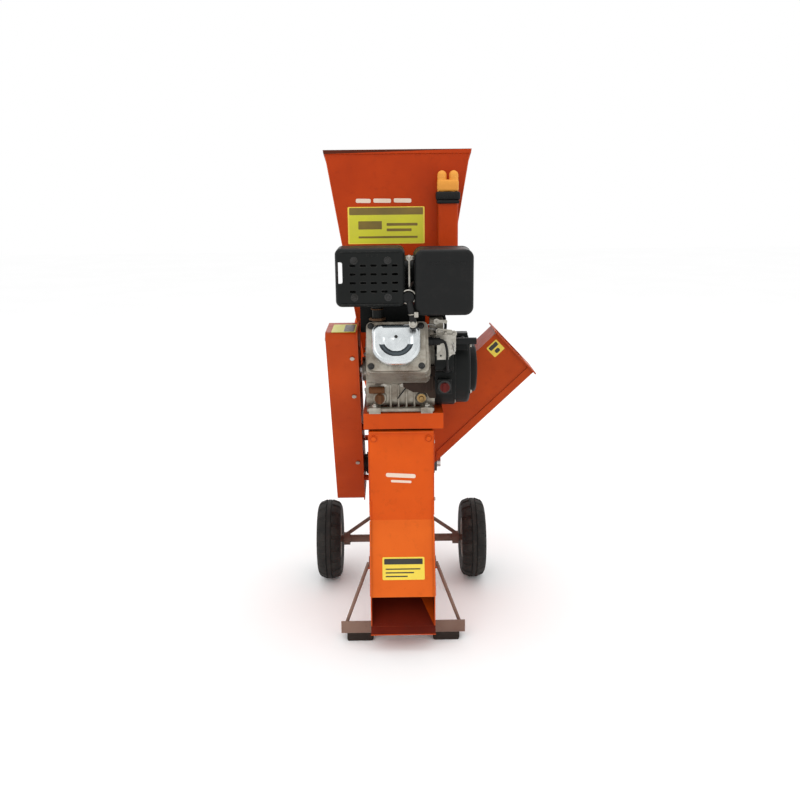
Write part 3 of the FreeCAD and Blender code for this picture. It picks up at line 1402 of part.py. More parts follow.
def tyre(sign):
    x = TRACK / 2
    outer = cyl_x(x - TYRE_W / 2, x + TYRE_W / 2, WHEEL_Y, WHEEL_Z, WHEEL_D / 2)
    ends = [e for e in outer.Edges if len(e.Vertexes) == 1]
    outer = outer.makeFillet(27, ends)
    body = outer.cut(cyl_x(x - 60, x + 60, WHEEL_Y, WHEEL_Z, RIM_R))
    return body if sign > 0 else mirror_x(body)


def wheel_rim(sign):
    """Pressed rim with a hub tube, turned in one outline."""
    x = TRACK / 2
    hub_r = 17
    rim = cyl_x(x - 31, x + 31, WHEEL_Y, WHEEL_Z, RIM_R)
    rim = rim.cut(cyl_x(x - 32, x - 3, WHEEL_Y, WHEEL_Z, RIM_R - 8))
    rim = rim.cut(cyl_x(x + 3, x + 32, WHEEL_Y, WHEEL_Z, RIM_R - 8))
    rim = rim.fuse(cyl_x(x - 31, x + 31, WHEEL_Y, WHEEL_Z, hub_r)).removeSplitter()
    for k in range(5):
        angle = math.radians(72 * k)
        y = WHEEL_Y + 38 * math.cos(angle)
        z = WHEEL_Z + 38 * math.sin(angle)
        rim = rim.cut(cyl_x(x - 5, x + 5, y, z, 8))
    rim = rim.cut(cyl_x(x - 40, x + 40, WHEEL_Y, WHEEL_Z, AXLE_PIN_R + RUN_FIT))
    return rim if sign > 0 else mirror_x(rim)


def axle_nuts():
    x = TRACK / 2 + 31 + 1
    nut = hex_x(x, x + 10, WHEEL_Y, WHEEL_Z, 27).cut(cyl_x(x - 1, x + 11, WHEEL_Y, WHEEL_Z, AXLE_PIN_R))
    return both_sides(nut)


def transport_handle():
    """Rear U-shaped handle for tipping the machine on its wheels."""
    y0 = BODY_BACK_Y
    half = HALF - HANDLE_R
    points = [
        V(-half, y0, BODY_TOP - 120),
        V(-half, y0 + 70, BODY_TOP - 120),
        V(-HANDLE_HALF, HANDLE_Y, HANDLE_Z - 130),
        V(-HANDLE_HALF, HANDLE_Y + 30, HANDLE_Z),
        V(HANDLE_HALF, HANDLE_Y + 30, HANDLE_Z),
        V(HANDLE_HALF, HANDLE_Y, HANDLE_Z - 130),
        V(half, y0 + 70, BODY_TOP - 120),
        V(half, y0, BODY_TOP - 120),
    ]
    return tube_along(points, HANDLE_R)


def front_bolts():
    bolts = []
    for x in (-HALF + 14, HALF - 14):
        head = cyl_y(x, FRONT_Y - 4, FRONT_Y, FRONT_TOP_Z - 24, 6.5)
        bolts.append(head.fuse(cyl_y(x, FRONT_Y - 4, FRONT_Y + 12, FRONT_TOP_Z - 24, 4.25)))
    return bolts


def engine_bolts():
    bolts = []
    for x, y in foot_bolt_places():
        bolts.append(hex_z(x, y, DECK_TOP + 16, DECK_TOP + 23, 14))
    return bolts


def hex_z(x, y, z0, z1, across):
    r = across / math.sqrt(3)
    points = [V(x + r * math.cos(k * math.pi / 3), y + r * math.sin(k * math.pi / 3), z0) for k in range(6)]
    return Part.Face(Part.makePolygon(points + points[:1])).extrude(V(0, 0, z1 - z0))


# ================================================================ build

def joined(*shapes):
    whole = shapes[0]
    for shape in shapes[1:]:
        whole = whole.fuse(shape)
    return whole.removeSplitter()


def front_stand():
    return joined(foot_bar(), *foot_posts(), *front_stays())


PIECES = {
    "side_plate_left": lambda: side_plate(-1),
    "side_plate_right": lambda: side_plate(1),
    "rotor_housing": lambda: joined(housing_wrap(), mouth_lip(), rotor_front_wall(), top_plate()),
    "discharge_front": lambda: joined(chute_front(), *chute_edge_strips()),
    "discharge_screen": discharge_screen,
    "anvil": anvil,
    "bearings": lambda: [bearing_housing(-1), bearing_housing(1)],
    "rotor_shaft": rotor_shaft,
    "knife_disc": knife_disc,
    "hammer_carrier": lambda: joined(hammer_plate(), *hammer_pins()),
    "chipper_knives": chipper_knives,
    "hammers_1": lambda: hammer_set(0),
    "hammers_2": lambda: hammer_set(1),
    "hammers_3": lambda: hammer_set(2),
    "hammers_4": lambda: hammer_set(3),
    "rotor_pulley": rotor_pulley,
    "v_belts": v_belts,
    "guard_back_plate": lambda: joined(guard_back_plate(), *guard_posts()),
    "guard_cover": guard_cover,
    "engine_deck": engine_deck,
    "crankcase": crankcase,
    "cylinder_head": cylinder_head,
    "valve_cover": valve_cover,
    "piston": piston,
    "crankshaft": crankshaft,
    "engine_pulley": engine_pulley,
    "flywheel": flywheel,
    "fan_shroud": fan_shroud,
    "recoil_cover": recoil_cover,
    "starter_grip": starter_grip,
    "starter_rope": starter_rope,
    "muffler": muffler,
    "muffler_shield": lambda: [muffler_shield(), heat_plate()],
    "air_cleaner_cover": air_cleaner_cover,
    "air_cleaner_base": air_cleaner_base,
    "air_filter": air_filter,
    "carburettor": carburettor,
    "fuel_tank": fuel_tank,
    "fuel_cap": fuel_cap,
    "throttle_lever": throttle_lever,
    "choke_lever": choke_lever,
    "fuel_lever": fuel_lever,
    "switch_knob": switch_knob,
    "dipstick": dipstick,
    "spark_plug": lambda: [spark_plug(), plug_cap()],
    "ignition_lead": ignition_lead,
    "hopper": hopper,
    "splash_curtain": splash_curtain,
    "stick_holder": stick_holder,
    "push_stick": stick_parts,
    "chipper_chute": lambda: joined(chipper_chute(), chute_rim()),
    "front_stand": front_stand,
    "rubber_feet": rubber_feet,
    "axle": lambda: joined(axle_tube(), *axle_braces()),
    "tyre_left": lambda: tyre(-1),
    "tyre_right": lambda: tyre(1),
    "wheel_rim_left": lambda: wheel_rim(-1),
    "wheel_rim_right": lambda: wheel_rim(1),
    "transport_handle": transport_handle,
    "fasteners": lambda: [
        *front_bolts(), *guard_bolts(), *hopper_bolts(), *engine_bolts(), *drain_plug(), *axle_nuts()
    ],
}

if __name__ == "__main__":
    os.makedirs("parts", exist_ok=True)
    for name, make in PIECES.items():
        save(name, make())
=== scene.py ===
"""Looks of the petrol wood chipper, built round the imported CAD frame. Metres, Z up."""

import json
import math
import random

import bmesh
import bpy
from mathutils import Matrix, Vector


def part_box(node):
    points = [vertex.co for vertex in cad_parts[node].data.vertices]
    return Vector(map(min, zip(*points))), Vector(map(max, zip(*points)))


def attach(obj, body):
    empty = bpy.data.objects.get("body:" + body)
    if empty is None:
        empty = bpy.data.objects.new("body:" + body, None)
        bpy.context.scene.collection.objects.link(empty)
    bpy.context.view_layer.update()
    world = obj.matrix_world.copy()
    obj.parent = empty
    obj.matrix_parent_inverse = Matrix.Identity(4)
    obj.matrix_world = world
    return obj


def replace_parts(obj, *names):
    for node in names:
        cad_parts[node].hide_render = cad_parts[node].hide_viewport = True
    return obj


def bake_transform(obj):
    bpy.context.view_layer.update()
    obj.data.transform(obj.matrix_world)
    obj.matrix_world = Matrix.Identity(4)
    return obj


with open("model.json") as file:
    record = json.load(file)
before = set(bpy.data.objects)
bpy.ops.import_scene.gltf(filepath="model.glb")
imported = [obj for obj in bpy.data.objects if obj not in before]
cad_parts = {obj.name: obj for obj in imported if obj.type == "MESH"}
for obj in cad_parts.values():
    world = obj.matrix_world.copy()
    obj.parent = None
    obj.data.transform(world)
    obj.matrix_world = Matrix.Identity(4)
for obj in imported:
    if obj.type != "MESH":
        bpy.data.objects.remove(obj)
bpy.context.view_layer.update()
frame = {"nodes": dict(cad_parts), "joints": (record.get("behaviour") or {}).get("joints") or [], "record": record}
NODES = frame["nodes"]
SLOTS = {part["node"]: part["material_slot"] for part in frame["record"]["subparts"]}
JOINTS = {joint["name"]: joint for joint in frame["joints"]}
MM = 0.001


# ================================================================ places

def mm(*values):
    """A point given in millimetres."""
    return Vector(values) * MM


def from_corner(node):
    """Gives points by their distance in millimetres from a node's low corner."""
    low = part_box(node)[0]
    return lambda x, y, z: low + mm(x, y, z)


def joint_at(name):
    return Vector(JOINTS[name]["pos_m"])


CRANK = joint_at("crank_spin")
WHEEL_LEFT = joint_at("wheel_left_spin")
WHEEL_RIGHT = joint_at("wheel_right_spin")
UP_CYLINDER = Vector(JOINTS["piston_travel"]["axis"])
TILT = math.atan2(UP_CYLINDER.z, -UP_CYLINDER.y)


def on_cylinder(x, along, across):
    """A point by its distance along the tilted cylinder's axis and across it."""
    side = Vector((0, math.sin(TILT), math.cos(TILT)))
    return Vector((x, CRANK.y, CRANK.z)) + UP_CYLINDER * along + side * across


# ================================================================ materials

class Nodes:
    """A small helper that adds shader nodes to one material."""

    def __init__(self, name):
        self.material = bpy.data.materials.new(name)
        self.material.use_nodes = True
        self.tree = self.material.node_tree
        self.tree.nodes.clear()
        self.out = self.tree.nodes.new("ShaderNodeOutputMaterial")
        self.shader = self.tree.nodes.new("ShaderNodeBsdfPrincipled")
        self.link(self.shader.outputs[0], self.out.inputs[0])
        self.place = self.tree.nodes.new("ShaderNodeTexCoord").outputs["Object"]

    def link(self, source, target):
        self.tree.links.new(source, target)

    def set(self, **values):
        for key, value in values.items():
            self.shader.inputs[key.replace("_", " ")].default_value = value

    def noise(self, scale, detail=4.0, roughness=0.6, stretch=None):
        node = self.tree.nodes.new("ShaderNodeTexNoise")
        node.inputs["Scale"].default_value = scale
        node.inputs["Detail"].default_value = detail
        node.inputs["Roughness"].default_value = roughness
        self.link(self.stretched(stretch), node.inputs["Vector"])
        return node.outputs["Fac"]

    def voronoi(self, scale, stretch=None):
        node = self.tree.nodes.new("ShaderNodeTexVoronoi")
        node.inputs["Scale"].default_value = scale
        self.link(self.stretched(stretch), node.inputs["Vector"])
        return node.outputs["Distance"]

    def stretched(self, stretch):
        if stretch is None:
            return self.place
        node = self.tree.nodes.new("ShaderNodeMapping")
        node.inputs["Scale"].default_value = stretch
        self.link(self.place, node.inputs["Vector"])
        return node.outputs[0]

    def ramp(self, value, low, high, low_out=0.0, high_out=1.0):
        node = self.tree.nodes.new("ShaderNodeMapRange")
        node.inputs["From Min"].default_value = low
        node.inputs["From Max"].default_value = high
        node.inputs["To Min"].default_value = low_out
        node.inputs["To Max"].default_value = high_out
        self.link(value, node.inputs["Value"])
        return node.outputs[0]

    def mix(self, share, a, b):
        node = self.tree.nodes.new("ShaderNodeMix")
        node.data_type = "RGBA"
        for socket, value in ((node.inputs[6], a), (node.inputs[7], b)):
            if isinstance(value, tuple):
                socket.default_value = (*value, 1.0)
            else:
                self.link(value, socket)
        self.link(share, node.inputs[0])
        return node.outputs[2]

    def math(self, kind, a, b):
        node = self.tree.nodes.new("ShaderNodeMath")
        node.operation = kind
        node.use_clamp = True
        for socket, value in ((node.inputs[0], a), (node.inputs[1], b)):
            if isinstance(value, float):
                socket.default_value = value
            else:
                self.link(value, socket)
        return node.outputs[0]

    def edges(self, radius, low=0.02, high=0.35):
        """How strongly a point lies on a convex edge, from 0 to 1."""
        bevel = self.tree.nodes.new("ShaderNodeBevel")
        bevel.samples = 4
        bevel.inputs["Radius"].default_value = radius
        geometry = self.tree.nodes.new("ShaderNodeNewGeometry")
        dot = self.tree.nodes.new("ShaderNodeVectorMath")
        dot.operation = "DOT_PRODUCT"
        self.link(bevel.outputs[0], dot.inputs[0])
        self.link(geometry.outputs["Normal"], dot.inputs[1])
        return self.ramp(dot.outputs["Value"], 1.0 - low, 1.0 - high)

    def bump(self, height, strength, distance):
        node = self.tree.nodes.new("ShaderNodeBump")
        node.inputs["Strength"].default_value = strength
        node.inputs["Distance"].default_value = distance
        self.link(height, node.inputs["Height"])
        self.link(node.outputs[0], self.shader.inputs["Normal"])

    def color(self, value):
        self.link(value, self.shader.inputs["Base Color"])

    def rough(self, value):
        self.link(value, self.shader.inputs["Roughness"])


def painted_steel(name, colour, dark, worn, gloss=0.34, chips=0.63, sheen=0.12):
    """Powder-coated sheet: orange peel, faint grime, worn edges with bare primer."""
    m = Nodes(name)
    tone = m.ramp(m.noise(5.0, 3.0), 0.35, 0.7)
    base = m.mix(tone, colour, dark)
    dirt = m.ramp(m.noise(42.0, 8.0, 0.7), 0.55, 0.8, 0.0, 0.35)
    base = m.mix(dirt, base, tuple(c * 0.45 for c in dark))
    rub = m.math("MULTIPLY", m.edges(0.0022), m.ramp(m.noise(70.0, 6.0, 0.75), 0.42, chips))
    base = m.mix(rub, base, worn)
    m.color(base)
    m.rough(m.ramp(m.noise(60.0, 5.0), 0.3, 0.8, gloss, gloss + 0.2))
    m.bump(m.noise(900.0, 2.0, 0.5), 0.12, 0.0004)
    m.set(Specular_IOR_Level=sheen, Coat_Weight=sheen * 0.3, Coat_Roughness=0.2)
    return m.material


def metal(name, colour, dark, rough, grain=(1, 1, 1), depth=0.0004, speck=320.0, metallic=1.0):
    """Bare metal: brushed or cast grain, oil stains and bright edges."""
    m = Nodes(name)
    stain = m.ramp(m.noise(16.0, 7.0, 0.7), 0.42, 0.72)
    base = m.mix(stain, colour, dark)
    bright = m.math("MULTIPLY", m.edges(0.0012), 0.7)
    base = m.mix(bright, base, tuple(min(1.0, c * 1.5 + 0.05) for c in colour))
    m.color(base)
    m.rough(m.ramp(m.noise(110.0, 6.0, 0.7, grain), 0.3, 0.75, rough - 0.08, rough + 0.16))
    m.bump(m.noise(speck, 5.0, 0.7, grain), 0.3, depth)
    m.set(Metallic=metallic)
    return m.material


def plastic(name, colour, dark, rough, grain=1400.0, worn=None):
    """Moulded plastic or rubber: fine grain, dust in patches, rubbed edges."""
    m = Nodes(name)
    dust = m.ramp(m.noise(26.0, 8.0, 0.75), 0.5, 0.8, 0.0, 0.5)
    base = m.mix(dust, colour, dark)
    rub = m.math("MULTIPLY", m.edges(0.0016), m.ramp(m.noise(90.0, 5.0), 0.35, 0.65, 0.0, 0.6))
    base = m.mix(rub, base, worn or tuple(min(1.0, c * 2.2 + 0.012) for c in colour))
    m.color(base)
    m.rough(m.ramp(m.noise(75.0, 5.0), 0.3, 0.8, rough, rough + 0.16))
    m.bump(m.voronoi(grain), 0.18, 0.0003)
    m.set(Specular_IOR_Level=0.16)
    return m.material


def tyre_rubber():
    m = Nodes("tyre_rubber")
    dust = m.ramp(m.noise(30.0, 9.0, 0.8), 0.45, 0.75)
    base = m.mix(dust, (0.016, 0.015, 0.014), (0.05, 0.044, 0.038))
    m.color(base)
    m.rough(m.ramp(m.noise(60.0, 6.0), 0.3, 0.8, 0.62, 0.86))
    m.bump(m.noise(700.0, 6.0, 0.75), 0.35, 0.0006)
    m.set(Specular_IOR_Level=0.2)
    return m.material


def belt_rubber():
    m = Nodes("belt_rubber")
    base = m.mix(m.ramp(m.noise(400.0, 4.0), 0.4, 0.7), (0.012, 0.012, 0.012), (0.05, 0.048, 0.045))
    m.color(base)
    m.set(Roughness=0.7)
    m.bump(m.noise(900.0, 5.0), 0.4, 0.0005)
    return m.material


def braided(name, colour, dark):
    m = Nodes(name)
    wave = m.tree.nodes.new("ShaderNodeTexWave")
    wave.wave_type = "BANDS"
    wave.bands_direction = "DIAGONAL"
    wave.inputs["Scale"].default_value = 260.0
    wave.inputs["Distortion"].default_value = 1.5
    m.link(m.place, wave.inputs["Vector"])
    m.color(m.mix(wave.outputs["Fac"], dark, colour))
    m.set(Roughness=0.85)
    m.bump(wave.outputs["Fac"], 0.7, 0.0006)
    return m.material


def paper_pleats():
    m = Nodes("filter_paper")
    m.color(m.mix(m.ramp(m.noise(45.0, 7.0), 0.4, 0.7), (0.62, 0.52, 0.33), (0.40, 0.31, 0.17)))
    m.set(Roughness=0.9)
    m.bump(m.noise(500.0, 5.0), 0.3, 0.0005)
    return m.material


def decal(name, colour, faded):
    """Printed vinyl: slightly uneven ink, fine scratches."""
    m = Nodes(name)
    base = m.mix(m.ramp(m.noise(14.0, 6.0), 0.35, 0.75), colour, faded)
    scratch = m.ramp(m.noise(120.0, 9.0, 0.8, (1.0, 1.0, 6.0)), 0.64, 0.74, 0.0, 0.4)
    m.color(m.mix(scratch, base, (0.75, 0.72, 0.66)))
    m.rough(m.ramp(m.noise(90.0, 4.0), 0.3, 0.8, 0.3, 0.5))
    m.bump(m.noise(600.0, 3.0), 0.06, 0.0003)
    return m.material


ORANGE = (0.58, 0.070, 0.003)
ORANGE_DARK = (0.47, 0.050, 0.0022)
LOOKS = { "body_orange": painted_steel("orange_paint", ORANGE, ORANGE_DARK, (0.30, 0.09, 0.04)),
    "axle_grey": painted_steel("axle_paint", (0.24, 0.15, 0.115), (0.15, 0.085, 0.065), (0.42, 0.36, 0.32),
        0.42),
    "handle_black": painted_steel("black_paint", (0.02, 0.02, 0.02), (0.012, 0.012, 0.012), (0.2, 0.2, 0.2)),
    "rim_white": painted_steel("rim_paint", (0.40, 0.38, 0.35), (0.30, 0.27, 0.24), (0.20, 0.12, 0.08),
        0.35),
    "engine_black": painted_steel("engine_black", (0.0075, 0.0085, 0.008), (0.011, 0.012, 0.0115),
        (0.09, 0.082, 0.078), 0.36, 0.6, 0.10),
    "engine_alloy": metal("cast_alloy", (0.42, 0.39, 0.33), (0.14, 0.105, 0.075), 0.5, depth=0.0009,
        speck=420.0, metallic=0.75),
    "cover_steel": metal("bright_cover", (0.70, 0.73, 0.74), (0.46, 0.49, 0.50), 0.26, depth=0.00008,
        speck=150.0),
    "shaft_steel": metal("turned_steel", (0.62, 0.61, 0.59), (0.40, 0.37, 0.34), 0.26, (30, 1, 1), 0.0002),
    "tool_steel": metal("tool_steel", (0.38, 0.37, 0.37), (0.18, 0.13, 0.10), 0.42, (1, 1, 1), 0.0006),
    "cast_iron": metal("cast_iron", (0.10, 0.10, 0.105), (0.07, 0.055, 0.045), 0.55, (1, 1, 1), 0.0012,
        300.0, 0.7),
    "zinc": metal("zinc_plate", (0.50, 0.48, 0.43), (0.24, 0.215, 0.175), 0.34, (1, 1, 1), 0.0003),
    "tyre": tyre_rubber(),
    "feet_rubber": plastic("feet_rubber", (0.030, 0.022, 0.018), (0.08, 0.06, 0.05), 0.7, 900.0),
    "curtain_rubber": plastic("curtain_rubber", (0.018, 0.018, 0.018), (0.05, 0.045, 0.04), 0.62, 700.0),
    "belt_rubber": belt_rubber(),
    "black_plastic": plastic("black_plastic", (0.0085, 0.009, 0.009), (0.022, 0.020, 0.019), 0.36),
    "lead_rubber": plastic("lead_rubber", (0.010, 0.010, 0.010), (0.03, 0.03, 0.03), 0.4),
    "knob_red": plastic("knob_red", (0.10, 0.008, 0.006), (0.06, 0.008, 0.006), 0.35),
    "stick_yellow": plastic("stick_yellow", (0.78, 0.33, 0.055), (0.55, 0.20, 0.03), 0.4, 1100.0,
        (0.90, 0.58, 0.22)), "filter_paper": paper_pleats(),
    "rope": braided("rope", (0.10, 0.10, 0.10), (0.02, 0.02, 0.02)), }
DECAL_YELLOW = decal("decal_yellow", (0.62, 0.60, 0.015), (0.55, 0.52, 0.03))
DECAL_AMBER = decal("decal_amber", (0.86, 0.66, 0.06), (0.76, 0.56, 0.05))
DECAL_BLACK = decal("decal_black", (0.012, 0.012, 0.010), (0.03, 0.028, 0.02))
DECAL_OLIVE = decal("decal_olive", (0.20, 0.13, 0.012), (0.13, 0.09, 0.012))
DECAL_PALE = decal("decal_pale", (0.80, 0.66, 0.55), (0.72, 0.55, 0.42))
# Painted shade: a dark red copy of the orange paint for the inside of the discharge mouth. It stands in for the
# shade in that recess.
MOUTH_PAINTED_SHADE = painted_steel("mouth_painted_shade", (0.16, 0.012, 0.003), (0.09, 0.008, 0.003), (0.2, 0.12, 0.08), 0.5)
BRASS = metal("brass", (0.42, 0.27, 0.11), (0.20, 0.12, 0.05), 0.36)
BROWN_PLASTIC = plastic("brown_plastic", (0.11, 0.042, 0.014), (0.05, 0.02, 0.01), 0.4)
DARK_BROWN_PATCH = plastic("dark_brown_patch", (0.030, 0.016, 0.010), (0.055, 0.030, 0.018), 0.45)
# Painted shade: darker copies of the orange paint, one for the hopper and stick holder and one for the guard and
# chute.
HOPPER_SHADED_ORANGE = painted_steel("hopper_painted_shade", (0.46, 0.042, 0.0016), (0.36, 0.030, 0.001), (0.30, 0.09,
        0.04))
GUARD_AND_CHUTE_SHADED_ORANGE = painted_steel("guard_painted_shade", (0.47, 0.056, 0.004), (0.36, 0.040, 0.003), (0.30, 0.10, 0.05))
# Painted light: brighter copies of the orange paint, one for the front plate and one for the deflector, which
# faces up towards the lamps.
PLATE_LIT_ORANGE = painted_steel("plate_painted_light", (0.66, 0.088, 0.004), (0.56, 0.070, 0.003), (0.36, 0.12, 0.05))
DEFLECTOR_LIT_ORANGE = painted_steel("deflector_painted_light", (0.72, 0.125, 0.010), (0.62, 0.098, 0.007), (0.40, 0.14,
        0.06))
# Painted shade: a dark brown copy of the orange paint for the hopper's top hem. It stands in for the dark line of
# shade along the rim.
HEM_PAINTED_SHADE = painted_steel("hem_painted_shade", (0.10, 0.016, 0.004), (0.06, 0.010, 0.003), (0.25, 0.10, 0.05))


# ================================================================ mesh building

class Shape:
    """Gathers solid geometry for one piece that rides on one body."""

    def __init__(self):
        self.bm = bmesh.new()

    def block(self, low, high, bevel=0.0, steps=2):
        """A box with rounded edges."""
        low, high = Vector(low), Vector(high)
        made = bmesh.ops.create_cube(self.bm, size=1.0)["verts"]
        size = high - low
        bmesh.ops.scale(self.bm, vec=size, verts=made)
        if bevel > 0:
            bevel = min(bevel, 0.49 * min(size))
            edges = list(dict.fromkeys(e for v in made for e in v.link_edges))
            rounded = bmesh.ops.bevel(self.bm, geom=edges, offset=bevel, segments=steps,
                    affect="EDGES", profile=0.5)
            made = list(dict.fromkeys([v for f in rounded["faces"] for v in f.verts]
                    + [v for v in made if v.is_valid]))
        bmesh.ops.transform(self.bm, matrix=Matrix.Translation((low + high) / 2), verts=made)
        return self

    def lathe(self, start, end, profile, steps=32, cap=True):
        """Turned body: profile is (share of the way along, radius) pairs."""
        start, end = Vector(start), Vector(end)
        axis = (end - start)
        turn = axis.to_track_quat("Z", "Y").to_matrix()
        rings = []
        for share, radius in profile:
            ring = []
            for k in range(steps):
                angle = 2 * math.pi * k / steps
                point = turn @ Vector((radius * math.cos(angle), radius * math.sin(angle), 0))
                ring.append(self.bm.verts.new(start + axis * share + point))
            rings.append(ring)
        self._skin(rings, True, False)
        if cap:
            self.bm.faces.new(list(reversed(rings[0])))
            self.bm.faces.new(rings[-1])
        return self

    def rod(self, start, end, radius, steps=20, chamfer=0.12):
        """A round bar with chamfered ends."""
        length = (Vector(end) - Vector(start)).length
        c = min(0.3, chamfer * radius * 2 / length)
        profile = [(0, radius * (1 - chamfer * 2)), (c, radius), (1 - c, radius), (1,
                radius * (1 - chamfer * 2))]
        return self.lathe(start, end, profile, steps)

    def hexagon(self, start, end, across, chamfer=0.18):
        length = (Vector(end) - Vector(start)).length
        r = across / math.sqrt(3)
        c = min(0.35, chamfer * r / length)
        return self.lathe(start, end, [(0, r), (1 - c, r), (1, r * (1 - chamfer))], 6)

    def bolt(self, seat, direction, across, washer=True):
        """Hexagon head on a washer."""
        seat, direction = Vector(seat), Vector(direction).normalized()
        if washer:
            self.rod(seat, seat + direction * across * 0.12, across * 0.95, 24)
            seat = seat + direction * across * 0.12
        self.hexagon(seat, seat + direction * across * 0.55, across)
        return self

    def tube(self, points, radius, steps=12, ends=True):
        """A round tube through smooth points."""
        rings = []
        points = [Vector(p) for p in points]
        side = None
        for k, point in enumerate(points):
            ahead = points[min(k + 1, len(points) - 1)] - points[max(k - 1, 0)]
            ahead.normalize()
            if side is None:
                side = ahead.orthogonal().normalized()
            side = (side - ahead * side.dot(ahead)).normalized()
            up = ahead.cross(side)
            r = radius(k / (len(points) - 1)) if callable(radius) else radius
            ring = []
            for j in range(steps):
                angle = 2 * math.pi * j / steps
                ring.append(self.bm.verts.new(point + side * r * math.cos(angle) + up * r * math.sin(angle)))
            rings.append(ring)
        self._skin(rings, True, False)
        if ends:
            self.bm.faces.new(list(reversed(rings[0])))
            self.bm.faces.new(rings[-1])
        return self

    def prism(self, outline, push):
        """A flat outline pushed along a vector."""
        push = Vector(push)
        low = [self.bm.verts.new(Vector(p)) for p in outline]
        high = [self.bm.verts.new(Vector(p) + push) for p in outline]
        count = len(outline)
        self.bm.faces.new(list(reversed(low)))
        self.bm.faces.new(high)
        for k in range(count):
            self.bm.faces.new((low[k], low[(k + 1) % count], high[(k + 1) % count], high[k]))
        return self

    def weld(self, start, end, radius, pitch=0.0035, seed=1):
        """A rippled weld bead."""
        rng = random.Random(seed)
        start, end = Vector(start), Vector(end)
        count = max(3, int((end - start).length / pitch * 2 + 1e-4))
        points = [start.lerp(end, k / count) for k in range(count + 1)]
        wobble = [1
                + 0.16 * math.sin(k * math.pi) + 0.22 * (k % 2) + 0.10 * rng.random() for k in range(count + 1)]
        return self.tube(points, lambda t: radius * wobble[round(t * count)], 8)

    def grid(self, rows, closed_u=False, closed_v=False):
        """A sheet of quads through rows of points."""
        made = [[self.bm.verts.new(Vector(p)) for p in row] for row in rows]
        self._skin(made, closed_u, closed_v)
        return made

    def _skin(self, made, closed_u, closed_v):
        count_v = len(made) if closed_v else len(made) - 1
        count_u = len(made[0]) if closed_u else len(made[0]) - 1
        for j in range(count_v):
            a, b = made[j], made[(j + 1) % len(made)]
            for i in range(count_u):
                k = (i + 1) % len(a)
                self.bm.faces.new((a[i], a[k], b[k], b[i]))

    def ring(self, centre, axis, major, minor, steps=40, sides=10):
        """A round ring such as a clamp or a bead."""
        centre, axis = Vector(centre), Vector(axis).normalized()
        side = axis.orthogonal().normalized()
        up = axis.cross(side)
        rows = []
        for k in range(steps):
            angle = 2 * math.pi * k / steps
            out = side * math.cos(angle) + up * math.sin(angle)
            rows.append([centre + out * (major + minor * math.cos(2 * math.pi * j / sides))
                    + axis * minor * math.sin(2 * math.pi * j / sides) for j in range(sides)])
        self.grid(rows, True, True)
        return self

    def moved(self, matrix):
        bmesh.ops.transform(self.bm, matrix=matrix, verts=self.bm.verts)
        return self

    def finish(self, name, slot, material=None, body="frame", angle=38.0):
        """Makes the piece; its material is the slot's own unless another is given."""
        bmesh.ops.recalc_face_normals(self.bm, faces=self.bm.faces)
        for face in self.bm.faces:
            face.smooth = True
        for edge in self.bm.edges:
            if len(edge.link_faces) == 2 and edge.calc_face_angle(0.0) > math.radians(angle):
                edge.smooth = False
        mesh = bpy.data.meshes.new(name)
        self.bm.to_mesh(mesh)
        self.bm.free()
        piece = bpy.data.objects.new(name, mesh)
        bpy.context.scene.collection.objects.link(piece)
        mesh.materials.append(material or LOOKS[slot])
        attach(piece, body)
        return piece


# ================================================================ stage

def camera():
    """Standing height in front of the discharge mouth, looking slightly down."""
    eye = mm(-17, -2381, 1301)
    pitch, yaw, roll = math.radians(13.97), math.radians(0.36), math.radians(0.63)
    forward = Vector((math.sin(yaw) * math.cos(pitch), math.cos(yaw) * math.cos(pitch), -math.sin(pitch)))
    right = Vector((math.cos(yaw), -math.sin(yaw), 0))
    up = right.cross(forward)
    turned_right = right * math.cos(roll) - up * math.sin(roll)
    turned_up = right * math.sin(roll) + up * math.cos(roll)
    data = bpy.data.cameras.new("camera")
    data.lens = 40.5
    data.sensor_width = 36.0
    data.clip_end = 50.0
    shot = bpy.data.objects.new("camera", data)
    bpy.context.scene.collection.objects.link(shot)
    shot.matrix_world = Matrix.Translation(eye) @ Matrix((turned_right, turned_up,
            -forward)).transposed().to_4x4()
    bpy.context.scene.camera = shot
    bpy.context.scene.view_settings.view_transform = "Standard"


def floor():
    mesh = bpy.data.meshes.new("floor")
    half = 14.0
    mesh.from_pydata([(-half, -half, 0), (half, -half, 0), (half, half, 0), (-half, half, 0)], [], [(0, 1,
            2, 3)])
    plane = bpy.data.objects.new("floor", mesh)
    bpy.context.scene.collection.objects.link(plane)
    m = Nodes("studio_floor")
    m.color(m.mix(m.ramp(m.noise(1.5), 0.4, 0.6), (0.985, 0.985, 0.985), (0.995, 0.995, 0.995)))
    m.set(Roughness=0.9, Specular_IOR_Level=0.0)
    mesh.materials.append(m.material)


def softbox(name, place, target, size, power):
    data = bpy.data.lights.new(name, "AREA")
    data.shape = "RECTANGLE"
    data.size, data.size_y = size
    data.energy = power
    light = bpy.data.objects.new(name, data)
    bpy.context.scene.collection.objects.link(light)
    place = Vector(place)
    light.matrix_world = Matrix.Translation(place) @ (
        (Vector(target) - place).to_track_quat("-Z", "Y").to_matrix().to_4x4())


def lights():
    world = bpy.data.worlds.new("studio")
    bpy.context.scene.world = world
    world.use_nodes = True
    world.node_tree.nodes["Background"].inputs["Color"].default_value = (1, 1, 1, 1)
    world.node_tree.nodes["Background"].inputs["Strength"].default_value = 1.0
    middle = (0, 0.2, 0.7)
    softbox("key", (-2.2, -3.2, 3.2), middle, (2.2, 2.2), 26)
    softbox("fill", (2.8, -2.6, 1.6), middle, (2.0, 2.4), 6)
    softbox("top", (0.2, 0.4, 4.2), middle, (3.0, 3.0), 22)
    softbox("rear", (0.5, 4.2, 2.6), middle, (3.0, 2.0), 14)


# ================================================================ sheet-metal body

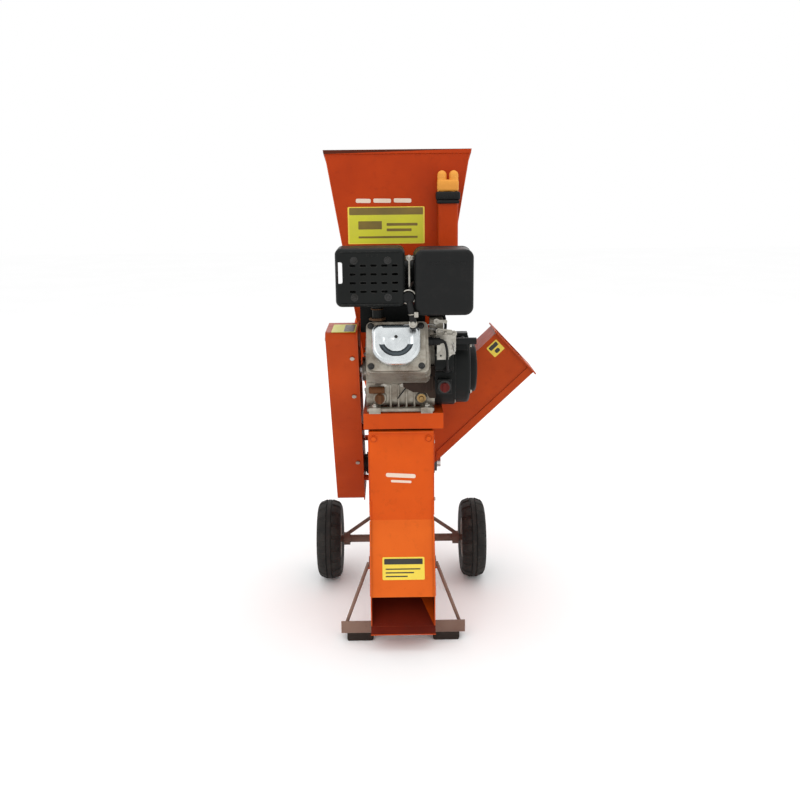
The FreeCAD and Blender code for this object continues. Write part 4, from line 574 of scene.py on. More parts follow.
PLATE_LOW, PLATE_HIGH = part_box("discharge_front")
BODY_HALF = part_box("side_plate_right")[1].x
HOPPER_LOW, HOPPER_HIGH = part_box("hopper")
GUARD_LOW, GUARD_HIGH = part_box("guard_cover")
BACK_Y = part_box("rotor_housing")[1].y
FRONT_PLATE_Y = PLATE_HIGH.y - 0.003
SIDE_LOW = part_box("side_plate_right")[0]
CHUTE_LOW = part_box("chipper_chute")[0]
CHUTE_TILT = math.radians(43.5)
DEFLECTOR_RISE = 0.191


def on_body(x, y, z):
    """A point by its height and depth from the side plates' low corner."""
    return Vector((x, SIDE_LOW.y + y, SIDE_LOW.z + z))


def on_hopper(x, z, lift=0.0006):
    """A point just in front of the hopper's leaning front wall; z counts from its top."""
    z += HOPPER_HIGH.z
    foot, top = HOPPER_LOW + mm(0, 14, 5), Vector((0, HOPPER_LOW.y, HOPPER_HIGH.z)) + mm(0, 42, -2.136)
    share = (z - foot.z) / (top.z - foot.z)
    return Vector((x, foot.y + (top.y - foot.y) * share - lift, z))


def on_deflector(x, z, lift=0.0006):
    """A point just above the sloping deflector; z counts from its low edge."""
    z += PLATE_LOW.z
    low = PLATE_LOW + mm(0, 5.326, 0)
    top = Vector((0, FRONT_PLATE_Y, PLATE_LOW.z + DEFLECTOR_RISE))
    share = (z - low.z) / (top.z - low.z)
    return Vector((x, low.y + (top.y - low.y) * share - lift, z + lift * 0.5))


def label(name, material, place, x0, x1, z0, z1, lean=0.0, lift=0.0006, corner=0.003):
    """A thin vinyl plate with rounded corners on a flat sheet; lean drops its right end."""
    outline = []
    for cx, cz, start in ((x1, z1, 0), (x0, z1, 90), (x0, z0, 180), (x1, z0, 270)):
        inner_x = cx - corner if cx == x1 else cx + corner
        inner_z = cz - corner if cz == z1 else cz + corner
        for k in range(5):
            angle = math.radians(start + 22.5 * k)
            x = inner_x + corner * math.cos(angle)
            outline.append(place(x, inner_z + corner * math.sin(angle) - lean * (x - x0), lift))
    back = place(x0, z0, 0.00005) - place(x0, z0, lift)
    Shape().prism(outline, back).finish(name, "body_orange", material)


def labels():
    """Generic stickers: plain colour fields and bars with no lettering."""
    label("hopper_label_edge", DECAL_AMBER, on_hopper, -0.149, 0.079, -0.271636, -0.163636, 0.0, 0.0005)
    label("hopper_label", DECAL_YELLOW, on_hopper, -0.1445, 0.0745, -0.269136, -0.187136, 0.0, 0.0008)
    label("hopper_label_band", DECAL_OLIVE, on_hopper, -0.1445, 0.0745, -0.187136, -0.166136, 0.0, 0.0009)
    for k, (x0, x1, z0, z1) in enumerate((
            (-0.118, -0.048, -0.229136, -0.205136), (-0.034, 0.058, -0.219136, -0.211136),
            (-0.034, 0.040, -0.235136, -0.227136), (-0.118, 0.058, -0.255136, -0.249136))):
        label(f"hopper_label_bar_{k}", DECAL_OLIVE, on_hopper, x0, x1, z0, z1, 0.0, 0.0011, 0.0015)
    for k, (x0, x1) in enumerate(((-0.124, -0.080), (-0.072, -0.020), (-0.012, 0.040))):
        label(f"hopper_stripe_{k}", DECAL_PALE, on_hopper, x0, x1, -0.151636, -0.139636, 0.02, 0.0006, 0.004)
    label("deflector_label", DECAL_AMBER, on_deflector, -0.057, 0.062, 0.042, 0.098)
    label("deflector_label_band", DECAL_BLACK, on_deflector, -0.052, 0.057, 0.080, 0.094, 0.0, 0.0009, 0.002)
    for k in range(3):
        label(f"deflector_label_bar_{k}", DECAL_BLACK, on_deflector, -0.048, 0.050 - 0.018 * k,
              0.067 - 0.009 * k, 0.070 - 0.009 * k, 0.0, 0.0009, 0.001)

    def on_front(x, z, lift=0.0006):
        return Vector((x, FRONT_PLATE_Y - lift, PLATE_HIGH.z + z))

    label("front_plate_bar_0", DECAL_PALE, on_front, -0.044, 0.040, -0.136, -0.124, 0.06, 0.0005, 0.005)
    label("front_plate_bar_1", DECAL_PALE, on_front, -0.030, 0.028, -0.152, -0.145, 0.06, 0.0005, 0.003)

    def on_guard_top(x, y, lift=0.0006):
        return Vector((GUARD_LOW.x + x, GUARD_LOW.y + y, GUARD_HIGH.z + lift))

    label("guard_label", DECAL_YELLOW, on_guard_top, 0.016, 0.080, 0.005792, 0.133792)
    label("guard_label_band", DECAL_BLACK, on_guard_top, 0.049, 0.0765, 0.013792, 0.123792, 0.0, 0.0009)

    def on_chute(run, rise, lift=0.0006):
        tilt = CHUTE_TILT
        x = BODY_HALF + run * math.cos(tilt) - rise * math.sin(tilt)
        z = CHUTE_LOW.z + run * math.sin(tilt) + rise * math.cos(tilt)
        return Vector((x, CHUTE_LOW.y + 0.010 - lift, z))

    label("chute_label", DECAL_AMBER, on_chute, 0.372, 0.412, 0.112, 0.150)
    label("chute_label_band", DECAL_BLACK, on_chute, 0.377, 0.407, 0.134, 0.146, 0.0, 0.0009, 0.002)
    label("chute_label_mark", DECAL_BLACK, on_chute, 0.384, 0.400, 0.117, 0.129, 0.0, 0.0009, 0.005)


def body_hardware():
    """Bolts, washers, welds and the rear inspection cover."""
    bolts = Shape()
    painted = Shape()
    for x in (-0.077, 0.077):
        painted.ring((x, FRONT_PLATE_Y - 0.0008, PLATE_HIGH.z - 0.024), (0, 1, 0), 0.0098, 0.0010)
    # The washers take the front plate's brighter orange copy, which is painted light.
    painted.finish("front_plate_washers", "body_orange", PLATE_LIT_ORANGE)
    for x in (-0.052, 0.052):
        for z in (0.443, 0.553):
            bolts.bolt((x, BACK_Y + 0.003, SIDE_LOW.z + z), (0, 1, 0), 0.010)
    for y, z in ((0.252, 0.558), (0.362, 0.563), (0.502, 0.558), (0.517, 0.388)):
        bolts.bolt(on_body(-BODY_HALF, y, z), (-1, 0, 0), 0.009)
    for y, z in ((0.162, 0.498), (0.122, 0.338), (0.262, 0.338), (0.517, 0.388), (0.502, 0.238)):
        bolts.bolt(on_body(BODY_HALF, y, z), (1, 0, 0), 0.009)
    for y in (0.414, 0.506):
        for x in (-BODY_HALF - 0.008, BODY_HALF + 0.008):
            bolts.rod(on_body(x, y, 0.604), on_body(x, y, 0.6052), 0.0075, 24)
    bolts.finish("body_bolts", "zinc")

    cover = Shape()
    cover.block((-0.066, BACK_Y, SIDE_LOW.z + 0.426), (0.066, BACK_Y + 0.003, SIDE_LOW.z + 0.570), 0.0012)
    cover.block((-0.040, BACK_Y + 0.003, SIDE_LOW.z + 0.458),
            (0.040, BACK_Y + 0.0065, SIDE_LOW.z + 0.538), 0.003, 3)
    cover.finish("rear_inspection_cover", "body_orange")

    welds = Shape()
    x = BODY_HALF
    for sign in (-1, 1):
        welds.weld(on_body(sign * x, 0.004, 0.0925), on_body(sign * x, 0.098, 0.281), 0.0016, seed=3)
        welds.weld(on_body(sign * x, 0.0995, 0.298), on_body(sign * x, 0.0995, 0.538), 0.0016, seed=4)
        welds.weld(on_body(sign * x, 0.462, 0.144), on_body(sign * x, 0.507, 0.144), 0.0022, seed=5)
        welds.weld(on_body(sign * (x + 0.005), 0.06, 0.152), on_body(sign * (x + 0.005), 0.088, 0.152),
                0.002, seed=6)
        welds.weld(on_body(sign * 0.140, 0.502, 0.068), on_body(sign * 0.170, 0.502, 0.068), 0.0016, seed=7)
        welds.weld(on_body(sign * x, 0.382, 0.5995), on_body(sign * x, 0.536, 0.5995), 0.0022, seed=8)
        welds.ring((sign * (x - 0.0125), BACK_Y + 0.001, SIDE_LOW.z + 0.473), (0, 1, 0), 0.0132, 0.0022)
    welds.weld(on_body(-x, 0.383, 0.5995), on_body(x, 0.383, 0.5995), 0.0022, 0.00351, seed=9)
    for sign in (-1, 1):
        for y0, y1, height in ((0.014, 0.042, 0.696), (0.166, 0.420, 0.488)):
            foot = Vector((sign * x, HOPPER_LOW.y + y0, HOPPER_LOW.z + 0.009))
            spread = (0.2135 - x) * height / 0.715
            head = Vector((sign * (x + spread), HOPPER_LOW.y + y1, foot.z + height))
            welds.weld(foot, head, 0.0016, 0.005, seed=10)
    tilt = CHUTE_TILT
    for y in (0.0102, 0.1478):
        low = Vector((x + 0.001, CHUTE_LOW.y + y, CHUTE_LOW.z + 0.004))
        welds.weld(low, low + mm(0, 0, 200), 0.0018, seed=11)
    for rise in (0.002, 0.160):
        near = Vector((x + 0.424 * math.cos(tilt) - rise * math.sin(tilt), CHUTE_LOW.y + 0.0095,
                CHUTE_LOW.z + 0.424 * math.sin(tilt) + rise * math.cos(tilt)))
        welds.weld(near, near + mm(0, 139, 0), 0.0016, seed=12)
    welds.finish("weld_beads", "body_orange")

    stand = Shape()
    for sign in (-1, 1):
        stand.weld(on_body(sign * 0.160, 0.047, -0.0268), on_body(sign * 0.176, 0.047, -0.0268), 0.0018,
                seed=13)
        stand.weld(on_body(sign * 0.0925, 0.042, -0.0318), on_body(sign * 0.0925, 0.086, -0.0318), 0.0018,
                seed=14)
        stand.bolt(on_body(sign * 0.124, 0.062, -0.033), (0, 0, 1), 0.015)
    stand.finish("stand_welds", "zinc")

    # Dark red sheets on both inner walls of the discharge mouth: painted shade in that recess.
    walls = Shape()
    for sign in (-1, 1):
        outline = [on_body(sign * 0.0879, y, z) for y, z in ((0.002, 0.006), (0.002, 0.091), (0.092, 0.260),
                (0.142, 0.238), (0.142, 0.103), (0.062, 0.038))]
        walls.prism(outline, (-sign * 0.0004, 0, 0))
    walls.finish("mouth_shade_sheets", "body_orange", MOUTH_PAINTED_SHADE)
    lining = Shape()
    lining.block(on_body(-0.0868, 0.007, 0.0052), on_body(0.0868, 0.012, 0.007), 0.0005)
    lining.finish("mouth_wear_strip", "tool_steel")


def handle_grip():
    grip = Shape()
    profile = [(0, 0.0128), (0.01, 0.0150), (0.06, 0.0156)]
    for k in range(12):
        at = 0.08 + k * 0.07
        profile += [(at, 0.0156), (at + 0.012, 0.0146), (at + 0.030, 0.0146), (at + 0.042, 0.0156)]
    profile += [(0.94, 0.0156), (0.99, 0.0150), (1, 0.0128)]
    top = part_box("transport_handle")[1] - mm(0, 12.486, 12.495)
    grip.lathe((-0.078, top.y, top.z), (0.078, top.y, top.z), profile, 40)
    grip.finish("handle_grip", "feet_rubber")


def curtain():
    """Rubber strips that sag a little, on a rolled top edge."""
    low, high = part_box("splash_curtain")
    axis = joint_at("curtain_swing")
    strips = 5
    width = (high.x - low.x) / strips
    flap = Shape()
    for k in range(strips):
        x0 = low.x + k * width + 0.0008
        x1 = x0 + width - 0.0016
        rows = []
        for j in range(17):
            z = axis.z - 0.005 - (axis.z - 0.005 - low.z - 0.001) * j / 16
            bow = 0.0009 * math.sin(j / 16 * math.pi + k)
            ring = []
            for x, y in ((x0, -0.0018), (x1, -0.0018), (x1, 0.0018), (x0, 0.0018)):
                ring.append((x, axis.y + y * 0.8 + bow * (1 if j else 0), z))
            rows.append(ring)
        made = flap.grid(rows, True)
        flap.bm.faces.new(made[0])
        flap.bm.faces.new(list(reversed(made[-1])))
    flap.lathe((low.x, axis.y, axis.z), (high.x, axis.y, axis.z),
            [(0, 0.0034), (0, 0.0048), (1, 0.0048), (1, 0.0034)], 24, cap=False)
    piece = flap.finish("throwback_curtain", "curtain_rubber", body="splash_curtain")
    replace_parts(piece, "splash_curtain")


# ================================================================ engine

ACROSS = Vector((0, math.sin(TILT), math.cos(TILT)))
CYLINDER = Matrix.Translation((0, CRANK.y, CRANK.z)) @ Matrix((Vector((1, 0, 0)), ACROSS, UP_CYLINDER)) \
    .transposed().to_4x4()
COVER_AT = 0.207
COVER_X = -0.011


def round_rect(half_w, half_h, corner, corner_low=None, steps=12):
    """Rounded outline; its lower corners may be rounder."""
    points = []
    for sx, sy, start in ((1, 1, 0), (-1, 1, 90), (-1, -1, 180), (1, -1, 270)):
        r = corner if sy > 0 or corner_low is None else corner_low
        for k in range(steps + 1):
            angle = math.radians(start + 90 * k / steps)
            points.append((sx * (half_w - r) + r * math.cos(angle), sy * (half_h - r) + r * math.sin(angle)))
    return points


def valve_cover():
    """Bright pressed cover: dull flange, raised middle with a curved channel and a centre boss."""
    flange = Shape()
    outline = round_rect(0.0775, 0.067, 0.026)
    rows = []
    for inset, z in ((0.0015, 0), (0, 0.0012), (0, 0.0046), (0.0014, 0.006)):
        rows.append([(COVER_X + x * (1 - inset / 0.0775), y * (1 - inset / 0.067), COVER_AT + z)
                for x, y in outline])
    made = flange.grid(rows, True)
    flange.bm.faces.new(list(reversed(made[0])))
    flange.bm.faces.new(made[-1])
    flange.moved(CYLINDER)
    flange.finish("valve_cover_flange", "cover_steel", LOOKS["engine_alloy"])

    def press(x, y):
        """Height of the pressed front over its flat level."""
        radius = math.hypot(x, y - 0.012)
        angle = math.degrees(math.atan2(y - 0.012, x))
        near = abs(radius - 0.040)
        end = max(0.0, abs(angle + 90) - 62) / 14
        channel = max(0.0, 1 - (near / 0.0068) ** 2) * max(0.0, 1 - end)
        boss = max(0.0, 1 - (math.hypot(x, y - 0.018) / 0.013) ** 4)
        brow = max(0.0, 1 - ((y - 0.046) / 0.005) ** 2) * max(0.0, 1 - (abs(x) / 0.040) ** 4)
        return -0.0062 * channel ** 0.5 + 0.0022 * boss - 0.0020 * brow

    dome = Shape()
    outline = round_rect(0.0645, 0.0555, 0.022, 0.053, 26)
    levels = [(0.0, 0.0058), (0.0004, 0.016), (0.0012, 0.0215), (0.0032, 0.0256), (0.0062, 0.0282),
            (0.0095, 0.0290)]
    rows = [[(COVER_X + x * (1 - inset / 0.0645), y * (1 - inset / 0.0555), COVER_AT + z) for x,
            y in outline] for inset, z in levels]
    last = rows[-1]
    for k in range(1, 56):
        share = 1 - k / 56
        ring = []
        for x, y, z in last:
            px, py = (x - COVER_X) * share, y * share
            ring.append((COVER_X + px, py, z + press(px, py) * min(1.0, 3 * (1 - share))))
        rows.append(ring)
    made = dome.grid(rows, True)
    dome.bm.faces.new(made[-1])
    dome.moved(CYLINDER)
    piece = dome.finish("valve_cover_pressing", "cover_steel", angle=60)
    piece.data.materials.append(CHANNEL_GREY)
    flat = CYLINDER.inverted()
    for polygon in piece.data.polygons:
        at = flat @ polygon.center
        if press(at.x - COVER_X, at.y) < -0.0012 and at.z > COVER_AT + 0.020:
            polygon.material_index = 1
    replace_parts(piece, "valve_cover")

    bolts = Shape()
    for x in (-0.066, 0.066):
        for y in (-0.055, 0.055):
            bolts.bolt((COVER_X + x, y, COVER_AT + 0.006), (0, 0, 1), 0.0095)
    bolts.bolt((COVER_X, 0.018, COVER_AT + 0.0262), (0, 0, 1), 0.0085, False)
    bolts.moved(CYLINDER)
    bolts.finish("valve_cover_bolts", "zinc", BLACK_OXIDE)


def breather():
    """Hose from the valve cover up between muffler and air cleaner, with its clamps."""
    at = from_corner("air_cleaner_cover")
    wire("breather_hose", [at(-4, 10, -32), at(-4, 4, -12), at(-8, 6, 12), at(-14, 14, 40),
            at(-12, 40, 62), at(-4, 80, 70), at(8, 102, 74)], 0.0088)
    clamps = Shape()
    clamps.ring(at(-6.5, 5, 5), (-0.1, 0, 1), 0.0098, 0.0016)
    clamps.block(at(-2, -8, -2), at(9, -2, 12), 0.0015)
    clamps.rod(at(3, -12, 5), at(3, 0, 5), 0.0035)
    clamps.bolt(at(-5, 1, -20), (0, -1, 0.3), 0.011)
    clamps.ring(at(-16, 12, 49), (0, 1, 0.25), 0.0185, 0.0022, 48)
    clamps.finish("breather_clamps", "zinc")
    cap = Shape()
    cap.lathe(at(-16, 4, 46.5), at(-16, 22, 51), [(0, 0.010), (0.12, 0.0150), (0.8, 0.0164), (1, 0.013)], 40)
    cap.finish("breather_cap", "black_plastic")
    strip = Shape()
    strip.block(at(-15.5, 28, 64), at(-10.5, 30.5, 148), 0.0008)
    strip.block(at(-22, 28, 142), at(-1, 30.5, 152), 0.0008)
    strip.bolt(at(-13, 28, 147), (0, -1, 0), 0.008)
    strip.finish("cleaner_bracket", "zinc")


def muffler_details():
    at = from_corner("muffler_shield")
    screws = Shape()
    for x in (-116, -30):
        for z in (1000, 1094):
            screws.bolt(at(x + 165, 0, z - 885), (0, -1, 0), 0.010)
    screws.finish("shield_screws", "zinc", BLACK_OXIDE)
    ribs = Shape()
    for k in range(3):
        ribs.block(at(81 + 12 * k, -1.2, 219), at(87 + 12 * k, 0.5, 225), 0.001)
    ribs.block(at(15, -1.2, 96), at(163, 0.4, 99), 0.0008)
    ribs.block(at(15, -1.2, 229), at(163, 0.4, 232), 0.0008)
    ribs.finish("shield_ribs", "engine_black")
    clamp = Shape()
    clamp.ring(at(105, 75, 75), (0, 0, 1), 0.0150, 0.0022)
    clamp.lathe(at(105, 75, 51), at(105, 75, 45), [(0, 0.022), (1, 0.022)], 6)
    clamp.finish("exhaust_clamp", "engine_black", RUSTY)


def cleaner_details():
    low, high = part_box("air_cleaner_cover")
    trim = Shape()
    outline = round_rect((high.x - low.x) / 2 - 0.0002, (high.z - low.z) / 2 - 0.0002, 0.0218, None, 8)
    cx, cz = (high.x + low.x) / 2, (high.z + low.z) / 2
    path = [Vector((cx + x, high.y - 0.001, cz + z)) for x, z in outline]
    trim.tube(path + path[:1], 0.0012, 8, False)
    trim.finish("cleaner_seal", "lead_rubber")
    latches = Shape()
    for z in (low.z + 0.040, low.z + 0.130):
        latches.block((high.x - 0.001, high.y - 0.020, z - 0.010), (high.x + 0.003, high.y + 0.012,
                z + 0.010), 0.001)
    latches.rod((high.x + 0.0025, high.y - 0.020, low.z + 0.030),
            (high.x + 0.0025, high.y - 0.020, low.z + 0.050), 0.0022)
    latches.finish("cleaner_latches", "zinc")
    ribs = Shape()
    for k in range(5):
        x = low.x + 0.034 + k * 0.021
        ribs.block((x, low.y - 0.0012, low.z + 0.132), (x + 0.012, low.y + 0.001, low.z + 0.138), 0.0008)
    ribs.finish("cleaner_ribs", "black_plastic")


def crankcase_details():
    """Cast ribs, bolts, sump flange and the oil-alert box."""
    at = from_corner("crankcase")
    cast = Shape()
    cast.block(at(14, 81.032, 1), at(200, 101.532, 13), 0.003, 3)
    for x in (-30, -8, 14, 36):
        cast.block(at(x + 107, 94.032, 11), at(x + 112, 102.532, 77), 0.0018)
    cast.block(at(15, 97.532, 75), at(199, 102.532, 82), 0.002)
    cast.lathe(at(49, 101.532, 38), at(49, 95.532, 38), [(0, 0.021), (0.7, 0.019), (1, 0.0165)], 32)
    cast.lathe(at(165, 101.532, 38), at(165, 94.032, 38), [(0, 0.017), (0.7, 0.015), (1, 0.013)], 32)
    cast.block(at(17, 96.032, 105), at(33, 104.032, 183), 0.004, 3)
    cast.finish("crankcase_ribs", "engine_alloy")
    bolts = Shape()
    for k in range(7):
        angle = 2 * math.pi * k / 7 + 0.3
        y, z = CRANK.y + 0.064 * math.cos(angle), CRANK.z - 0.006 + 0.064 * math.sin(angle)
        bolts.bolt((at(12, 0, 0).x, y, z), (-1, 0, 0), 0.009)
    for x in (61, 111, 157):
        bolts.bolt(at(x, 97.532, 78.5), (0, -1, 0), 0.0085)
    for x in (-72, 72):
        for y in (39, 223):
            bolts.rod(at(x + 107, y + 44.032, 16), at(x + 107, y + 44.032, 18), 0.0115, 28)
            bolts.rod(at(x + 107, y + 44.032, 23), at(x + 107, y + 44.032, 27), 0.0042, 16)
    bolts.finish("crankcase_bolts", "zinc")
    # A dark brown plate with four ribs, shaped to the dark patch on the crankcase's lower right below the
    # cylinder.
    cover = Shape()
    outline = [at(x + 107, 80.032, z - 663) for x, z in ((6, 747), (56, 748), (58, 796), (94, 794), (97,
            704), (80, 704), (72, 718), (34, 722), (8, 736))]
    cover.prism(outline, mm(0, 20, 0))
    for k in range(4):
        cover.block(at(167 + 9 * k, 77.532, 61), at(171 + 9 * k, 81.032, 125), 0.0015)
    cover.finish("crankcase_dark_patch", "black_plastic", DARK_BROWN_PATCH)
    alert = Shape()
    alert.block(at(19, 88.032, 53), at(63, 101.032, 71), 0.003, 3)
    alert.block(at(25, 85.032, 56), at(57, 90.032, 68), 0.002, 3)
    alert.finish("oil_alert_box", "black_plastic", BROWN_PLASTIC)
    wire("alert_wire_switch", [at(191, 78.032, 107), at(199, 84.032, 101), at(204, 74.032, 89), at(210,
            70.032, 77)], 0.0022)
    wire("alert_wire_sump", [at(147, 90.032, 93), at(127, 88.032, 75), at(111, 90.032, 55), at(99, 96.032,
            37)], 0.0018)
    drain = Shape()
    drain.bolt(at(165, 93.532, 38), (0, -1, 0), 0.013)
    drain.finish("drain_plug_head", "zinc", BRASS)


def controls():
    """Zinc control plate with its slot, springs, cable clamp and governor arm."""
    at = from_corner("carburettor")
    plate = Shape()
    outline = [at(51, -22.5, -36), at(69, -22.5, -20), at(69, -22.5, 22), at(58, -22.5, 38), at(23, -22.5,
            42), at(15, -22.5, 30), at(18, -22.5, 12), at(50.5, -22.5, 11)]
    plate.prism(outline, mm(0, 1.8, 0))
    for k in range(4):
        z = 834 + 12 * k
        plate.block(at(55, -25, z - 862), at(67, -22.3, z - 859), 0.0008)
    plate.block(at(19, -29.5, 24), at(59, -22.3, 27), 0.0008)
    plate.bolt(at(63, -22.7, 28), (0, -1, 0), 0.009)
    plate.bolt(at(23, -22.7, 35), (0, -1, 0), 0.008)
    plate.rod(at(41, -30.5, 30), at(41, -21.5, 30), 0.0045)
    plate.finish("control_plate", "zinc")
    springs = Shape()
    for a, b, r, turns in ((at(-11, -3.5, 43), at(41, -27.5, 32), 0.0032, 15), (at(59, -27.5, 6), at(66,
            -27.5, -24), 0.003, 10)):
        axis = b - a
        side = axis.orthogonal().normalized()
        up = axis.normalized().cross(side)
        count = turns * 12
        path = [a]
        for k in range(count + 1):
            angle = 2 * math.pi * k / 12
            path.append(a + axis * (0.12
                    + 0.76 * k / count) + (side * math.cos(angle) + up * math.sin(angle)) * r)
        springs.tube(path + [b], 0.0006, 6)
    springs.finish("governor_springs", "shaft_steel")
    arm = Shape()
    arm.block(at(-15, -5.5, 4), at(-9, -3.5, 50), 0.0008)
    arm.rod(at(-12, -11.5, 6), at(-12, 2.5, 6), 0.005)
    arm.finish("governor_arm", "zinc")
    wire("governor_rod", [at(-12, -4.5, 46), at(-3, -3.5, 52), at(7, 0.5, 50), at(17, 4.5, 44)], 0.0014,
         "shaft_steel")
    wire("fuel_hose", [at(31, 36.5, 8), at(43, 46.5, 18), at(47, 64.5, 43), at(37, 76.5, 78),
            at(23, 84.5, 98), at(23, 84.5, 108)], 0.0042)
    clips = Shape()
    clips.ring(at(40, 43.5, 15), (1, 0.8, 0.9), 0.005, 0.0009)
    clips.ring(at(28, 81.5, 94), (-0.5, 0.3, 1), 0.005, 0.0009)
    clips.finish("fuel_hose_clips", "zinc")


def shroud_details():
    at = from_corner("fan_shroud")
    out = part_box("recoil_cover")[0].x
    screws = Shape()
    for k in range(4):
        angle = math.radians(35 + 90 * k)
        y, z = CRANK.y + 0.090 * math.cos(angle), CRANK.z + 0.090 * math.sin(angle)
        screws.bolt((out + 0.0415, y, z), (1, 0, 0), 0.008)
    for y, z in ((60, 690), (60, 850), (200, 840), (205, 700)):
        screws.rod(at(56, y + 6, z - 665), at(58.5, y + 6, z - 665), 0.006)
    screws.finish("shroud_screws", "zinc")
    hub = Shape()
    hub.lathe((out + 0.0615, CRANK.y, CRANK.z), (out + 0.0645, CRANK.y, CRANK.z),
            [(0, 0.046), (0.2, 0.047), (0.8, 0.045), (1, 0.040)], 48)
    hub.finish("recoil_centre_cap", "engine_black")
    rings = Shape()
    rings.ring((out + 0.0415, CRANK.y, CRANK.z), (1, 0, 0), 0.082, 0.0016, 72)
    rings.ring((out - 0.0005, CRANK.y, CRANK.z), (1, 0, 0), 0.1015, 0.0018, 72)
    rings.finish("recoil_pressed_rings", "engine_black")
    bezel = Shape()
    switch = joint_at("switch_turn")
    bezel.lathe((switch.x, at(0, 9.2, 0).y, switch.z), (switch.x, at(0, 7.2, 0).y, switch.z), [(0, 0.0178),
            (0.6, 0.0178), (1, 0.0162)], 40)
    bezel.finish("switch_bezel", "zinc", BLACK_OXIDE)


def tank_details():
    at = from_corner("fuel_tank")
    bolts = Shape()
    for x in (15, 275):
        for y in (31, 176):
            bolts.bolt(at(x, y, 65.2), (0, 0, 1), 0.009)
    bolts.ring(at(123, 101, 119), (0, 0, 1), 0.0235, 0.0016)
    bolts.finish("tank_bolts", "zinc")
    tap = Shape()
    tap.lathe(at(247, 29, 2), at(247, 29, -10), [(0, 0.011), (0.6, 0.011), (1, 0.006)], 24)
    tap.finish("tank_outlet", "zinc", BRASS)


def wire(name, route, radius, material="lead_rubber", body="frame"):
    """A round wire or hose held at both ends, on one smooth spline."""
    data = bpy.data.curves.new(name, "CURVE")
    data.dimensions = "3D"
    spline = data.splines.new("NURBS")
    spline.points.add(len(route) - 1)
    for point, place in zip(spline.points, route):
        point.co = (*place, 1)
    spline.order_u = 3
    spline.use_endpoint_u = True
    spline.resolution_u = 16
    data.bevel_depth = radius
    data.bevel_resolution = 5
    data.use_fill_caps = True
    piece = bpy.data.objects.new(name, data)
    bpy.context.scene.collection.objects.link(piece)
    data.materials.append(LOOKS[material])
    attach(piece, body)
    return piece


def ignition():
    """Spark plug lead from the cap to the shroud, held at both ends."""
    at = from_corner("fan_shroud")
    cap_end = on_cylinder(0.106, 0.186, 0.020)
    shroud = at(31, 9, 125)
    route = [cap_end - Vector((0.006, 0, 0)), cap_end, cap_end + mm(13, 0, 0), cap_end + mm(19, -10, -24),
            cap_end + mm(18, -17, -54), shroud + mm(0, -30, 8), shroud + mm(0, -12, 0), shroud + mm(0, 1.5,
            0)]
    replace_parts(wire("ignition_wire", route, 0.0035), "ignition_lead")
    boots = Shape()
    boots.lathe(cap_end - Vector((0.003, 0, 0)), cap_end + mm(9, 0, 0), [(0, 0.0088), (0.4, 0.0068), (1,
            0.0048)], 24)
    boots.lathe(shroud + mm(0, 0.5, 0), shroud - mm(0, 9, 0), [(0, 0.0088), (0.4, 0.0066), (1, 0.0046)], 24)
    boots.ring(cap_end - Vector((0.012, 0, 0)), (1, 0, 0), 0.0100, 0.0012)
    boots.ring(cap_end - Vector((0.017, 0, 0)), (1, 0, 0), 0.0100, 0.0012)
    boots.finish("ignition_boots", "lead_rubber")


def starter_rope():
    """Twisted cord that stretches out of the recoil housing behind the grip."""
    low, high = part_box("starter_rope")
    x, z = (low.x + high.x) / 2, (low.z + high.z) / 2
    radius = (high.x - low.x) / 2 - 0.0002
    rows = []
    count = 90
    for j in range(count + 1):
        y = high.y + (low.y - high.y) * j / count
        twist = j * 0.35
        ring = []
        for k in range(18):
            angle = 2 * math.pi * k / 18
            lobe = radius * (0.90 + 0.10 * math.cos(3 * (angle - twist)))
            ring.append((x + lobe * math.cos(angle), y, z + lobe * math.sin(angle)))
        rows.append(ring)
    rope = Shape()
    made = rope.grid(rows, True)
    rope.bm.faces.new(made[0])
    rope.bm.faces.new(list(reversed(made[-1])))
    bmesh.ops.recalc_face_normals(rope.bm, faces=rope.bm.faces)
    for face in rope.bm.faces:
        face.smooth = True
    mesh = bpy.data.meshes.new("pull_cord")
    rope.bm.to_mesh(mesh)
    rope.bm.free()
    mesh.materials.append(LOOKS["rope"])
    piece = bpy.data.objects.new("pull_cord", mesh)
    bpy.context.scene.collection.objects.link(piece)
    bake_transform(piece)
    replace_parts(piece, "starter_rope")


# ================================================================ push stick, wheels, feet

